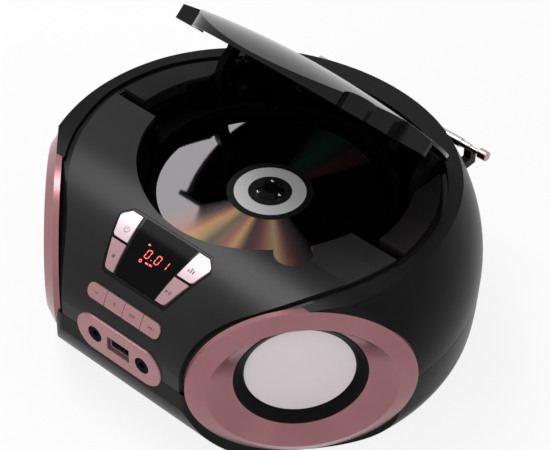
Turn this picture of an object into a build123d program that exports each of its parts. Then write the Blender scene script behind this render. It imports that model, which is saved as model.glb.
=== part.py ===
from build123d import *
import os
from math import cos, pi, radians, sin, sqrt, tan

# A portable disc player: a round case with a front deck, an open lid on two bent arms, two
# angled speakers, eight keys, a folding rod aerial and a battery bay in the base.
# Sizes are in millimetres. X runs to the right, Y to the back and Z up from the table.
# Everything is drawn about the axis of the disc and moved to the origin at the end.

# Disc and drive
DISC_RADIUS = 60.0
DISC_HOLE_RADIUS = 7.5
DISC_THICKNESS = 1.2
DISC_TOP = 83.0
FLOOR_DROP = 4.5
FLOOR_THICKNESS = 2.0
PLATTER_RADIUS = 15.0
PLATTER_THICKNESS = 2.0
HUB_RISE = 2.5
SHAFT_RADIUS = 1.0
MOTOR_RADIUS = 12.0
MOTOR_LENGTH = 14.0
BALL_RADIUS = 1.2
BALL_COUNT = 3
SLED_WIDTH = 36.0
SLED_LENGTH = 16.0
SLED_HEIGHT = 6.0
SLED_REST_Y = -26.0
ROD_RADIUS = 1.5
LENS_RADIUS = 3.5

# Case
CASE_CENTRE_Y = -14.5
CASE_RADIUS = 123.0
CASE_TOP = 105.5
CASE_TOP_SETBACK = 14.7
CASE_BASE_SETBACK = 22.2
BASE_ROUND_SETBACK = 7.4
BASE_ROUND_RISE = 7.5
SHOULDER_SETBACK = 2.2
SHOULDER_HEIGHT = 75.5
WAIST_HEIGHT = 46.0
WAIST_ROUND_SETBACK = 0.3
WAIST_ROUND_HEIGHT = 35.0
SKIRT_SETBACK = 1.2
SKIRT_HEIGHT = 24.0
FOOT_HEIGHT = 3.0
FRONT_Y = -113.8
FRONT_CORNER = 12.0
BACK_TOP = 100.5
CROWN_DROP = 0.7
CROWN_BACK_DROP = 0.1
WALL = 2.4
SEAM_GAP = 0.4
INNER_RADIUS = 97.5
GROOVE_WIDTH = 4.0
TRIM_DEPTH = 2.0
DECK_BACK_Y = -16.0
DECK_TONGUE = 40.5
WELL_RADIUS = 70.0
WELL_LOW_RADIUS = 66.5
STEP_HEIGHT = 89.0
SCOOP_X = 56.0
SCOOP_Y = -46.0
SCOOP_RADIUS = 10.0
LEDGE_FRONT_Y = -10.0
LEDGE_DEPTH = 7.0

# Lid, drawn shut and then turned open
LID_OPEN_ANGLE = 50.0
LID_HALF_WIDTH = 84.5
LID_HALF_DEPTH = 82.0
LID_CENTRE_Y = -8.0
LID_FRONT_Y = -15.6
LID_TIP_RADIUS = 69.2
LID_RISE = 8.0
LID_CROWN_Y = -3.5
LID_ACROSS_RADIUS = 581.0
LID_FORWARD_RADIUS = 140.0
LID_BACKWARD_RADIUS = 588.0
LID_FRONT_DROP = 3.4
LID_WALL = 2.2
LID_SEAT_GAP = 0.4
LID_FRONT_BOTTOM = 98.8
LID_SKIRT_BACK_Y = -12.8
LINER_THICKNESS = 1.5
LINER_DROP = 0.2
HINGE_Y = 50.2
HINGE_Z = 87.2
HINGE_PIN_RADIUS = 2.5
ARM_INNER_X = 66.2
ARM_THICKNESS = 4.5
ARM_EYE_RADIUS = 6.0
TROUGH_HALF_WIDTH = 75.0
TROUGH_FRONT_Y = 20.0
TROUGH_RADIUS = 106.0
TROUGH_FLOOR = 67.0
ARM_GAP = 0.8
SWEEP_HALF_WIDTH = 104.0
SWEEP_HALF_DEPTH = 81.5
SECTOR_TEETH = 40
PINION_TEETH = 10
GEAR_MODULE = 0.8
PINION_ANGLE = 222.0

# Speakers
SPEAKER_X = 80.0
SPEAKER_Y = -66.2
SPEAKER_Z = 53.5
SPEAKER_TURN = 47.4
CONE_RADIUS = 28.3
SURROUND_RADIUS = 34.1
SURROUND_RISE = 4.7
CREST_HALF_WIDTH = 48.5
CREST_HALF_HEIGHT = 41.4
CREST_RISE = 13.4
RING_HALF_WIDTH = 58.5
RING_HALF_HEIGHT = 49.0
RING_RISE = 8.4
RING_DROP = 0.9
RING_WALL = 2.2
RING_SKIRT = 3.2
MAGNET_RADIUS = 20.0
MAGNET_LENGTH = 10.0
BASKET_DEPTH = 24.0
FRAME_FLANGE = -2.2

# Keys, display and sockets
CLUSTER_Y = -89.9
CLUSTER_Z = 93.5
CLUSTER_TILT = 33.0
KEY_ROW_Y = -109.6
KEY_ROW_Z = 73.2
KEY_ROW_TILT = 64.5
KEY_PROUD = 0.8
KEY_DEPTH = 3.5
KEY_GAP = 0.3
KEY_TRAVEL = 1.2
KEY_WIDTH = 12.6
KEY_ROW_HEIGHT = 8.6
BOARD_THICKNESS = 1.6
BOARD_DROP = 7.0
BOARD_POST_X = 32.0
ROW_POST_X = 29.5
WINDOW_DROP = 0.6
WINDOW_THICKNESS = 2.0
STEM_GAP = 0.4
STEM_LENGTH = 4.2
STEM_RADIUS = 1.8
PANEL_HALF_WIDTH = 29.8
PANEL_HALF_HEIGHT = 11.5
PANEL_Z = 49.0
PANEL_THICKNESS = 3.0
PANEL_PROUD = 1.0
JACK_X = 16.7
JACK_RADIUS = 4.8
JACK_BORE_RADIUS = 1.8
JACK_LENGTH = 12.0
USB_WIDTH = 13.2
USB_HEIGHT = 5.7

# Aerial
AERIAL_STANDOFF = 4.0
AERIAL_Z = 72.0
AERIAL_PIVOT_X = -60.0
AERIAL_CAP_X = 60.0
AERIAL_RADII = [2.8, 2.1, 1.3]
AERIAL_STEP = 6.0
CLIP_X = 49.0

# Batteries, boards and base
CELL_RADIUS = 13.0
CELL_LENGTH = 49.0
CELL_ROWS_Y = [2.0, 30.0]
BAY_HALF_WIDTH = 78.0
BAY_FRONT_Y = -14.0
BAY_BACK_Y = 46.0
COVER_HALF_WIDTH = 75.0
COVER_TRAVEL = 6.0
INLET_X = -36.0
INLET_Z = 25.0
INLET_HALF_WIDTH = 12.0
INLET_HALF_HEIGHT = 9.0
INLET_DEPTH = 24.5
INLET_RECESS = 20.5
INLET_PIN_LENGTH = 10.0
FOOT_RADIUS = 6.0
FOOT_PLACES = [(45.0, -78.0), (-45.0, -78.0), (52.0, 58.0), (-52.0, 58.0)]
SCREW_SETBACK = 11.0
SCREW_ANGLES = [15.0, 60.0, 120.0, 165.0]
SCREW_LAND = 15.6
SCREW_RADIUS = 1.5
SCREW_HEAD_RADIUS = 3.0
SCREW_LENGTH = 14.0
RUNNING_FIT = 0.05
FREE_GAP = 0.3
FIT_GAP = 0.1

# Middle of the overall box, measured from the disc's axis
BOX_MIDDLE_X = 0.0
BOX_MIDDLE_Y = 0.526

BIG = 400.0
CASE_BACK_Y = CASE_CENTRE_Y + CASE_RADIUS
CASE_TOP_RADIUS = CASE_RADIUS - CASE_TOP_SETBACK
CASE_BASE_RADIUS = CASE_RADIUS - CASE_BASE_SETBACK
SHOULDER_RADIUS = CASE_RADIUS - SHOULDER_SETBACK
SKIRT_RADIUS = CASE_RADIUS - SKIRT_SETBACK
AERIAL_Y = CASE_BACK_Y + AERIAL_STANDOFF
SCREW_REACH = CASE_RADIUS - SCREW_SETBACK
LID_SIDE_BOTTOM = CASE_TOP + LID_SEAT_GAP
LID_APEX = LID_SIDE_BOTTOM + LID_RISE
STEM_BOTTOM = BOARD_DROP - KEY_TRAVEL - STEM_GAP
ARM_OUTER_X = ARM_INNER_X + ARM_THICKNESS
WELL_FLOOR = DISC_TOP - FLOOR_DROP
DISC_BOTTOM = DISC_TOP - DISC_THICKNESS


def slab(x0, x1, y0, y1, z0, z1):
    """Block between two corners."""
    middle = Pos((x0 + x1) / 2, (y0 + y1) / 2, (z0 + z1) / 2)
    return middle * Box(x1 - x0, y1 - y0, z1 - z0)


def prism(sketch, z0, z1):
    """Flat outline pulled up between two heights."""
    return Pos(0, 0, z0) * extrude(sketch, amount=z1 - z0, dir=(0, 0, 1))


def rod(radius, start, end):
    """Round bar from one point to another."""
    direction = Vector(*end) - Vector(*start)
    plane = Plane(origin=start, z_dir=direction.normalized())
    return extrude(plane * Circle(radius), amount=direction.length)


def both_sides(shape):
    """A shape with its mirror image across the middle plane."""
    return Compound([shape, mirror(shape, about=Plane.YZ)])


def outward(segment, point):
    """Direction that points out of a closed outline at a point on one of its lines or arcs."""
    if len(segment) == 2:
        along = (Vector(*segment[1]) - Vector(*segment[0])).normalized()
        return Vector(along.Y, -along.X)
    start, middle, end = [Vector(*p) for p in segment]
    chord_a = middle - start
    chord_b = end - start
    cross = chord_a.X * chord_b.Y - chord_a.Y * chord_b.X
    size_a = chord_a.dot(chord_a)
    size_b = chord_b.dot(chord_b)
    centre = start + Vector(chord_b.Y * size_a - chord_a.Y * size_b,
                            chord_a.X * size_b - chord_b.X * size_a) * (0.5 / cross)
    away = (Vector(*point) - centre).normalized()
    return away if cross > 0 else away * -1


def corner_point(before, after, inset):
    """Corner between two lines or arcs after both have moved in."""
    first = outward(before, before[-1])
    second = outward(after, after[0])
    moved = Vector(*after[0]) - (first + second) * (inset / (1 + first.dot(second)))
    return moved.X, moved.Y


def outline(segments, inset=0.0):
    """Face inside lines and three-point arcs that run anticlockwise, all moved in by the inset."""
    edges = []
    for k, segment in enumerate(segments):
        start = corner_point(segments[k - 1], segment, inset)
        end = corner_point(segment, segments[(k + 1) % len(segments)], inset)
        if len(segment) == 2:
            edges.append(Line(start, end))
        else:
            middle = Vector(*segment[1]) - outward(segment, segment[1]) * inset
            edges.append(ThreePointArc(start, (middle.X, middle.Y), end))
    return make_face(Curve() + edges)


def case_half_outline(inset):
    """Half of the turned case, as radius and height."""
    base = FOOT_HEIGHT
    inside = -BIG / 8
    base_round = (CASE_RADIUS - BASE_ROUND_SETBACK, base + BASE_ROUND_RISE)
    waist_round = (CASE_RADIUS - WAIST_ROUND_SETBACK, WAIST_ROUND_HEIGHT)
    return outline([
        ((inside, base), (CASE_BASE_RADIUS, base)),
        ((CASE_BASE_RADIUS, base), base_round, (SKIRT_RADIUS, SKIRT_HEIGHT)),
        ((SKIRT_RADIUS, SKIRT_HEIGHT), waist_round, (CASE_RADIUS, WAIST_HEIGHT)),
        ((CASE_RADIUS, WAIST_HEIGHT), (SHOULDER_RADIUS, SHOULDER_HEIGHT), (CASE_TOP_RADIUS, CASE_TOP)),
        ((CASE_TOP_RADIUS, CASE_TOP), (inside, CASE_TOP)),
        ((inside, CASE_TOP), (inside, base)),
    ], inset)


def case_side_outline(inset):
    """Side view of the case, as Y and height, open wide at the back."""
    base = FOOT_HEIGHT
    back = 130.0
    nose = (FRONT_Y, WAIST_HEIGHT + 3.0)
    brow = (-101.5, 84.0)
    crown = (-45.0, CASE_TOP - CROWN_DROP)
    tail = (92.0, BACK_TOP)
    toe = (-95.0, base)
    return outline([
        (toe, (back, base)),
        ((back, base), (back, BACK_TOP - 4.0)),
        ((back, BACK_TOP - 4.0), tail),
        (tail, (25.0, CASE_TOP - CROWN_BACK_DROP), crown),
        (crown, (-76.0, 99.7), brow),
        (brow, (-110.6, 70.0), nose),
        (nose, (-111.4, 25.0), toe),
    ], inset)


def case_plan_outline(inset):
    """Plan of the case: a wide block with a flat front and two flats for the speakers."""
    turn = radians(SPEAKER_TURN)
    flat = SPEAKER_X * sin(turn) - SPEAKER_Y * cos(turn) + RING_RISE
    front_x = (flat + FRONT_Y * cos(turn)) / sin(turn)
    side_x = 140.0
    side_y = (side_x * sin(turn) - flat) / cos(turn)
    back_y = 140.0
    cut = FRONT_CORNER * tan(turn / 2)
    start = (front_x - cut, FRONT_Y)
    middle = (front_x - cut + FRONT_CORNER * sin(turn / 2), FRONT_Y + FRONT_CORNER * (1 - cos(turn / 2)))
    end = (front_x + cut * cos(turn), FRONT_Y + cut * sin(turn))
    right = (side_x, side_y)
    return outline([
        (flipped(start), start),
        (start, middle, end),
        (end, right),
        (right, (side_x, back_y)),
        ((side_x, back_y), (-side_x, back_y)),
        ((-side_x, back_y), flipped(right)),
        (flipped(right), flipped(end)),
        (flipped(end), flipped(middle), flipped(start)),
    ], inset)


def flipped(point):
    """A plan point on the other side of the middle."""
    return -point[0], point[1]


def case_body(inset):
    """The turned case with its sloping front, before the speaker flats are cut."""
    half = case_half_outline(inset) & (Pos(BIG / 2, 0) * Rectangle(BIG, BIG))
    axis_plane = Plane(origin=(0, CASE_CENTRE_Y, 0), x_dir=(1, 0, 0), z_dir=(0, -1, 0))
    turned = revolve(axis_plane * half, Axis((0, CASE_CENTRE_Y, 0), (0, 0, 1)))
    sides = extrude(Plane.YZ * case_side_outline(inset), amount=BIG / 2, both=True)
    return turned & sides


def case_solid(inset):
    """The case as a full body, with every face moved in by the inset."""
    return case_body(inset) & prism(case_plan_outline(inset), 0, CASE_TOP + 1.0)


CASE_OUTER = case_solid(0)
CASE_INNER = case_solid(WALL)
CASE_SHELL = CASE_OUTER - CASE_INNER


def speaker_plane(rise, drop=0.0):
    """Plane across the right speaker's axis, forward of its cone by the rise."""
    turn = radians(SPEAKER_TURN)
    forward = (sin(turn), -cos(turn), 0)
    origin = (SPEAKER_X + rise * forward[0], SPEAKER_Y + rise * forward[1], SPEAKER_Z - drop)
    return Plane(origin=origin, x_dir=(cos(turn), sin(turn), 0), z_dir=forward)


def speaker_taper(sizes):
    """Loft through ellipses along the speaker's axis: rise, half width, half height, drop."""
    sections = [speaker_plane(rise, drop) * Ellipse(a, b) for rise, a, b, drop in sizes]
    return loft(sections, ruled=True)


def face_of(edges):
    """Face inside a closed run of lines and arcs."""
    return make_face(Curve() + edges)


def mirrored(shape):
    """The left-hand copy of a right-hand piece."""
    return mirror(shape, about=Plane.YZ)


def speaker_hole(clear=3.0):
    """Space that the rings fill in the case wall, and some clear space behind them."""
    wide = RING_HALF_WIDTH + FIT_GAP
    tall = RING_HALF_HEIGHT + FIT_GAP
    back = RING_RISE - RING_SKIRT - clear
    hole = speaker_taper([(back, wide, tall, RING_DROP), (RING_RISE + 40.0, wide, tall, RING_DROP)])
    return hole + mirrored(hole)


def deck_plan(grow=0.0):
    """Plan of the front deck: round at the sides, narrowing to a tongue at the front."""
    side = sqrt(INNER_RADIUS ** 2 - (DECK_BACK_Y - CASE_CENTRE_Y) ** 2)
    corner = (side, DECK_BACK_Y)
    bend = (64.0, -86.0)
    tip = (DECK_TONGUE, -116.0)
    end = (DECK_TONGUE, FRONT_Y - 8.0)
    return outline([
        (flipped(end), end),
        (end, tip),
        (tip, (50.0, -101.0), bend),
        (bend, (88.5, -50.0), corner),
        (corner, flipped(corner)),
        (flipped(corner), (-88.5, -50.0), flipped(bend)),
        (flipped(bend), (-50.0, -101.0), flipped(tip)),
        (flipped(tip), flipped(end)),
    ], -grow)


def inner_plan():
    """Everything inside the dark groove: deck and ledges together."""
    ring = Pos(0, CASE_CENTRE_Y) * Circle(INNER_RADIUS)
    return deck_plan() + (ring & (Pos(0, BIG / 2 + DECK_BACK_Y) * Rectangle(BIG, BIG)))


def groove_plan():
    """Plan out to the far side of the dark groove."""
    ring = Pos(0, CASE_CENTRE_Y) * Circle(INNER_RADIUS + GROOVE_WIDTH)
    back = ring & (Pos(0, BIG / 2 + DECK_BACK_Y) * Rectangle(BIG, BIG))
    front = deck_plan(GROOVE_WIDTH) & (Pos(0, -BIG / 2 + DECK_BACK_Y) * Rectangle(BIG, BIG))
    return front + back


def well_plan(grow=0.0):
    """Opening of the disc well at deck level."""
    front = Circle(WELL_RADIUS + grow)
    margin = 3.0 - grow
    wide = Pos(0, LID_CENTRE_Y) * Ellipse(LID_HALF_WIDTH - margin, LID_HALF_DEPTH - margin)
    back = wide & (Pos(0, BIG / 2 + LEDGE_FRONT_Y - 3.0 - grow) * Rectangle(BIG, BIG))
    scoop = Pos(SCOOP_X, SCOOP_Y) * Circle(SCOOP_RADIUS + grow)
    return front + back + scoop


def trough_plan(grow=0.0):
    """Deep space behind the disc where the arms and the lid's back edge swing."""
    ring = Pos(0, CASE_CENTRE_Y) * Circle(TROUGH_RADIUS + grow)
    front = TROUGH_FRONT_Y - grow
    window = Pos(0, BIG / 2 + front) * Rectangle(2 * (TROUGH_HALF_WIDTH + grow), BIG)
    return (ring & window) - Circle(WELL_LOW_RADIUS + FLOOR_THICKNESS - grow)


def arm_zone_plan():
    """Rear middle of the rim, between the outsides of the two arms."""
    return Pos(0, BIG / 2 + TROUGH_FRONT_Y) * Rectangle(2 * (ARM_OUTER_X + ARM_GAP), BIG)


def rear_rim_plan():
    """Rear middle of the rim, less the sweep of the lid's back edge."""
    return arm_zone_plan() - Ellipse(SWEEP_HALF_WIDTH, SWEEP_HALF_DEPTH)


def ledge_plan():
    """Plan of the ledge on each side that carries the shut lid."""
    behind = Pos(0, BIG / 2 + LEDGE_FRONT_Y) * Rectangle(BIG, BIG)
    return (inner_plan() & behind) - well_plan() - arm_zone_plan()


def lid_plan(inset=0.0):
    """Plan of the lid: a straight front with a round part over the well, and a finger notch."""
    wide = Pos(0, LID_CENTRE_Y) * Ellipse(LID_HALF_WIDTH - inset, LID_HALF_DEPTH - inset)
    back = wide & (Pos(0, BIG / 2 + LID_FRONT_Y + inset) * Rectangle(BIG, BIG))
    notch = Pos(SCOOP_X, SCOOP_Y) * Circle(SCOOP_RADIUS + inset)
    return back + Circle(LID_TIP_RADIUS - inset) - notch


def keyed_plane(y, z, tilt):
    """Plane on the sloping front, with its outward side up."""
    turn = radians(tilt)
    return Plane(origin=(0, y, z), x_dir=(1, 0, 0), z_dir=(0, -sin(turn), cos(turn)))


CLUSTER_PLANE = keyed_plane(CLUSTER_Y, CLUSTER_Z, CLUSTER_TILT)
ROW_PLANE = keyed_plane(KEY_ROW_Y, KEY_ROW_Z, KEY_ROW_TILT)


def through(plane, sketch, depth=30.0):
    """Outline on a sloping plane, pulled both ways through the deck."""
    return extrude(plane * sketch, amount=depth / 2, both=True)


def cluster_outline():
    """Shield-shaped outline round the display and its four keys."""
    points = [(-22.2, -17.2), (22.2, -17.2), (32.8, 12.8), (27.4, 18.6), (-27.4, 18.6), (-32.8, 12.8)]
    shape = make_face(Polyline(*points, close=True))
    return fillet(shape.vertices(), radius=3.2)


def window_outline():
    """Tapered window over the display."""
    points = [(-13.4, -15.6), (13.4, -15.6), (17.9, 17.2), (-17.9, 17.2)]
    return make_face(Polyline(*points, close=True))


def upper_key_outline():
    """Right-hand upper key beside the display."""
    points = [(17.4, 1.2), (27.2, 1.2), (31.2, 12.2), (26.6, 16.6), (19.6, 16.6)]
    shape = make_face(Polyline(*points, close=True))
    return fillet(shape.vertices().sort_by(Axis.X)[-2:], radius=2.6)


def lower_key_outline():
    """Right-hand lower key beside the display."""
    points = [(14.7, -15.2), (20.6, -15.2), (26.6, -0.2), (16.9, -0.2)]
    shape = make_face(Polyline(*points, close=True))
    return fillet(shape.vertices().sort_by(Axis.Y)[:2].sort_by(Axis.X)[-1:], radius=3.0)


def row_key_outline(index):
    """One of the four keys in the row, counted from the left."""
    left = (index - 2) * KEY_WIDTH + KEY_GAP / 2
    right = (index - 1) * KEY_WIDTH - KEY_GAP / 2
    shape = Pos((left + right) / 2, 0) * Rectangle(right - left, KEY_ROW_HEIGHT)
    if index == 0:
        return fillet(shape.vertices().sort_by(Axis.X)[:2], radius=KEY_ROW_HEIGHT * 0.42)
    if index == 3:
        return fillet(shape.vertices().sort_by(Axis.X)[-2:], radius=KEY_ROW_HEIGHT * 0.42)
    return shape


def row_opening_outline():
    """Opening for the whole row of keys."""
    length = 4 * KEY_WIDTH + KEY_GAP
    height = KEY_ROW_HEIGHT + 2 * KEY_GAP
    return RectangleRounded(length, height, height * 0.42)


def panel_outline(grow=0.0):
    """Oval of the socket panel, in the front plane."""
    return SlotOverall(2 * (PANEL_HALF_WIDTH + grow), 2 * (PANEL_HALF_HEIGHT + grow))


def front_plane(y, z):
    """Upright plane across the front, facing forward."""
    return Plane(origin=(0, y, z), x_dir=(1, 0, 0), z_dir=(0, -1, 0))


def panel_block(grow, y_front, y_back):
    """Oval block for the socket panel or its hole."""
    outline = front_plane(y_back, PANEL_Z) * panel_outline(grow)
    return extrude(outline, amount=y_back - y_front)


def make_lower_shell():
    below = slab(-BIG, BIG, -BIG, BIG, -1.0, WAIST_HEIGHT)
    shell = CASE_SHELL & below
    shell += (bay_walls() & case_solid(0.5))
    low = FOOT_HEIGHT - 1.0
    for x, y in screw_places():
        boss = Pos(x, y, (low + SCREW_LAND) / 2) * Cylinder(SCREW_HEAD_RADIUS + 2.2, SCREW_LAND - low)
        shell += boss & CASE_OUTER
    for x, y in screw_places():
        shell -= Pos(x, y, SCREW_LAND / 2 - 1.2) * Cylinder(SCREW_HEAD_RADIUS + 0.2, SCREW_LAND - 2.4)
        shell -= Pos(x, y, SCREW_LAND) * Cylinder(SCREW_RADIUS + 0.2, 8.0)
    shell -= speaker_hole()
    shell -= panel_block(0.0, FRONT_Y - 10.0, FRONT_Y + 12.0)
    gap = FREE_GAP
    wide = COVER_HALF_WIDTH + gap
    shell -= slab(-wide, wide, BAY_FRONT_Y - gap, BAY_BACK_Y + gap + COVER_TRAVEL,
                  -1.0, FOOT_HEIGHT + WALL + 1.0)
    shell -= inlet_block()
    for x, y in FOOT_PLACES:
        shell -= Pos(x, y, FOOT_HEIGHT) * Cylinder(FOOT_RADIUS, 2.0)
    return shell


def screw_places():
    """Plan positions of the screws that join the two halves of the case."""
    turns = [radians(angle) for angle in SCREW_ANGLES]
    return [(SCREW_REACH * cos(t), CASE_CENTRE_Y + SCREW_REACH * sin(t)) for t in turns]


def bay_top():
    """Height of the battery bay's roof."""
    return FOOT_HEIGHT + WALL + 2 * CELL_RADIUS + 3.0


def bay_walls():
    """Walls and roof round the cells, with the stand-offs for the main board."""
    low = FOOT_HEIGHT + WALL
    top = bay_top()
    outer = slab(-BAY_HALF_WIDTH - 3.0, BAY_HALF_WIDTH + 3.0, BAY_FRONT_Y - 3.0,
                 BAY_BACK_Y + COVER_TRAVEL + 3.0, low - 0.1, top)
    inner = slab(-BAY_HALF_WIDTH - 1.0, BAY_HALF_WIDTH + 1.0, BAY_FRONT_Y - 1.0,
                 BAY_BACK_Y + COVER_TRAVEL + 1.0, low - 1.0, top - 2.0)
    posts = [Pos(x, y, top + 0.7) * Cylinder(2.5, 1.8) for x in (-55.0, 34.0) for y in (-10.0, 24.0)]
    return outer - inner + posts


def make_upper_shell():
    above = slab(-BIG, BIG, -BIG, BIG, WAIST_HEIGHT + SEAM_GAP, CASE_TOP + 1.0)
    shell = CASE_SHELL & above
    screw_top = SCREW_LAND + SCREW_LENGTH
    for x, y in screw_places():
        column = prism(Pos(x, y) * (Circle(3.2) - Circle(SCREW_RADIUS)), SCREW_LAND, screw_top)
        column += prism(Pos(x, y) * Circle(3.2), screw_top, CASE_TOP)
        shell += column & case_solid(1.0)
    shell -= prism(groove_plan() - rear_rim_plan(), 0, CASE_TOP + 1.0)
    shell -= speaker_hole()
    return shell - panel_block(0.0, FRONT_Y - 10.0, FRONT_Y + 12.0)


def make_groove_trim():
    strip = groove_plan() - inner_plan() - arm_zone_plan()
    trim = case_body(TRIM_DEPTH) & prism(strip, WAIST_HEIGHT + SEAM_GAP, CASE_TOP + 1.0)
    trim -= case_body(TRIM_DEPTH + WALL)
    trim -= speaker_hole(FIT_GAP)
    return trim - panel_block(0.0, FRONT_Y - 10.0, FRONT_Y + 12.0)


def make_deck():
    front = deck_plan() - well_plan()
    deck = CASE_OUTER & prism(front, WAIST_HEIGHT + SEAM_GAP, CASE_TOP + 1.0)
    deck -= CASE_INNER
    deck += board_posts()
    deck -= through(CLUSTER_PLANE, offset(cluster_outline(), FIT_GAP))
    deck -= through(ROW_PLANE, row_opening_outline(), 16.0)
    return deck - panel_block(0.0, FRONT_Y - 10.0, FRONT_Y + 12.0)


def make_ledge():
    plan = ledge_plan()
    outside = TROUGH_HALF_WIDTH + 2.2
    sides = plan - Rectangle(2 * outside, BIG)
    plate = CASE_SHELL & prism(plan, CASE_TOP - LEDGE_DEPTH, CASE_TOP + 1.0)
    blocks = CASE_OUTER & prism(sides, CASE_TOP - LEDGE_DEPTH, CASE_TOP + 1.0)
    return plate + blocks


def make_disc_well(ledge, trim):
    wall = 2.0
    low = STEP_HEIGHT - wall
    upper = well_plan()
    trough = trough_plan()
    half = INNER_RADIUS - 1.0
    channel_floor = LID_FRONT_BOTTOM - 2.8
    tub = prism(well_plan(wall), low, CASE_TOP)
    tub += prism(Circle(WELL_LOW_RADIUS + wall), WELL_FLOOR - FLOOR_THICKNESS, low + wall)
    tub += prism(trough_plan(wall), TROUGH_FLOOR - wall, CASE_TOP)
    tub += slab(-half, half, DECK_BACK_Y - wall, LEDGE_FRONT_Y + wall, channel_floor - wall, CASE_TOP)
    tub -= prism(upper, STEP_HEIGHT, CASE_TOP + 1.0)
    tub -= prism(Circle(WELL_LOW_RADIUS), WELL_FLOOR, CASE_TOP + 1.0)
    tub -= prism(trough, TROUGH_FLOOR, CASE_TOP + 1.0)
    tub -= slab(1.0 - half, half - 1.0, DECK_BACK_Y, LEDGE_FRONT_Y, channel_floor, CASE_TOP + 1.0)
    tub &= case_solid(WALL + 0.1)
    tub -= ledge
    tub -= trim
    tub -= Pos(0, 0, WELL_FLOOR) * Cylinder(PLATTER_RADIUS + 2.0, 3 * FLOOR_THICKNESS)
    slot_half = LENS_RADIUS + 3.0
    tub -= slab(-slot_half, slot_half, SLED_REST_Y - 39.0, -PLATTER_RADIUS,
                WELL_FLOOR - 1.5 * FLOOR_THICKNESS, WELL_FLOOR + FLOOR_THICKNESS)
    tub += both_sides(hinge_lug())
    tub += sled_lugs()
    bores = rod(HINGE_PIN_RADIUS + 0.02, (-BIG, HINGE_Y, HINGE_Z), (BIG, HINGE_Y, HINGE_Z))
    reach = TROUGH_HALF_WIDTH + 1.5
    return tub - (bores & slab(-reach, reach, -BIG, BIG, 0, BIG))


def hinge_lug():
    """Post beside the right arm that holds the inner end of its pin."""
    inner = ARM_INNER_X - 4.7
    outer = ARM_INNER_X - 0.7
    half = 4.5
    post = slab(inner, outer, HINGE_Y - half, HINGE_Y + half, TROUGH_FLOOR - 0.5, HINGE_Z)
    cap = rod(half, (inner, HINGE_Y, HINGE_Z), (outer, HINGE_Y, HINGE_Z))
    return post + cap


def sled_rod_height():
    """Height of the two rods under the well floor."""
    return WELL_FLOOR - FLOOR_THICKNESS - 1.0 - SLED_HEIGHT / 2


def sled_lugs():
    """Four ears under the well floor that hold the sled's rods."""
    z = sled_rod_height()
    ears = []
    for x in (-SLED_WIDTH / 2 + 3.0, SLED_WIDTH / 2 - 3.0):
        for y in (-66.5, -11.0):
            ear = slab(x - 3.0, x + 3.0, y - 1.5, y + 1.5, z - 3.0, WELL_FLOOR - 0.5)
            ears.append(ear - rod(ROD_RADIUS + 0.02, (x, y - 5.0, z), (x, y + 5.0, z)))
    return Compound(ears)


def make_sled_rods():
    z = sled_rod_height()
    return Compound([rod(ROD_RADIUS, (x, -68.0, z), (x, -9.5, z))
                     for x in (-SLED_WIDTH / 2 + 3.0, SLED_WIDTH / 2 - 3.0)])


def make_pickup_sled():
    z = sled_rod_height()
    block = Pos(0, SLED_REST_Y, z) * Box(SLED_WIDTH, SLED_LENGTH, SLED_HEIGHT)
    block = chamfer(block.edges().filter_by(Axis.Z), 2.0)
    for x in (-SLED_WIDTH / 2 + 3.0, SLED_WIDTH / 2 - 3.0):
        block -= rod(ROD_RADIUS + RUNNING_FIT, (x, -BIG, z), (x, BIG, z))
    return block


def make_pickup_lens():
    base = sled_rod_height() + SLED_HEIGHT / 2
    turret = Pos(0, SLED_REST_Y, base + 1.5) * Cylinder(LENS_RADIUS, 3.0)
    dome = Pos(0, SLED_REST_Y, base + 3.0) * Sphere(LENS_RADIUS * 0.6)
    return turret + dome


def make_disc():
    ring = Circle(DISC_RADIUS) - Circle(DISC_HOLE_RADIUS)
    return prism(ring, DISC_BOTTOM, DISC_TOP)


def make_turntable():
    platter = prism(Circle(PLATTER_RADIUS), DISC_BOTTOM - PLATTER_THICKNESS, DISC_BOTTOM)
    hub_radius = DISC_HOLE_RADIUS - FIT_GAP
    shoulder = 0.2
    taper = HUB_RISE - shoulder
    hub = prism(Circle(hub_radius), DISC_BOTTOM, DISC_TOP + shoulder)
    nose = Pos(0, 0, DISC_TOP + shoulder + taper / 2) * Cone(hub_radius, 4.5, taper)
    table = platter + hub + nose
    for k in range(BALL_COUNT):
        x, y = ball_place(k)
        table -= Pos(x, y, DISC_TOP + 1.0) * Sphere(BALL_RADIUS + RUNNING_FIT)
    bore = prism(Circle(SHAFT_RADIUS), DISC_BOTTOM - PLATTER_THICKNESS - 1.0, DISC_TOP)
    return table - bore


def ball_place(index):
    """Plan position of one clamping ball in the hub."""
    turn = 2 * pi * index / BALL_COUNT
    reach = DISC_HOLE_RADIUS - 0.8
    return reach * cos(turn), reach * sin(turn)


def make_hub_balls():
    balls = []
    for k in range(BALL_COUNT):
        x, y = ball_place(k)
        balls.append(Pos(x, y, DISC_TOP + 1.0) * Sphere(BALL_RADIUS))
    return Compound(balls)


def motor_top():
    """Height of the spindle motor's upper face."""
    return DISC_BOTTOM - PLATTER_THICKNESS - 1.5


def make_motor_shaft():
    return prism(Circle(SHAFT_RADIUS), motor_top() - 6.0, DISC_TOP - 1.0)


def make_spindle_motor():
    top = motor_top()
    can = prism(Circle(MOTOR_RADIUS), top - MOTOR_LENGTH, top)
    can -= prism(Circle(SHAFT_RADIUS + RUNNING_FIT), top - 6.5, top + 1.0)
    flange = WELL_FLOOR - FLOOR_THICKNESS
    plate = Circle(PLATTER_RADIUS + 6.0) & (Pos(0, BIG / 2 + 4.0) * Rectangle(BIG, BIG))
    return can + prism(plate - Circle(MOTOR_RADIUS - 0.5), flange - 1.5, flange)


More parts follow.
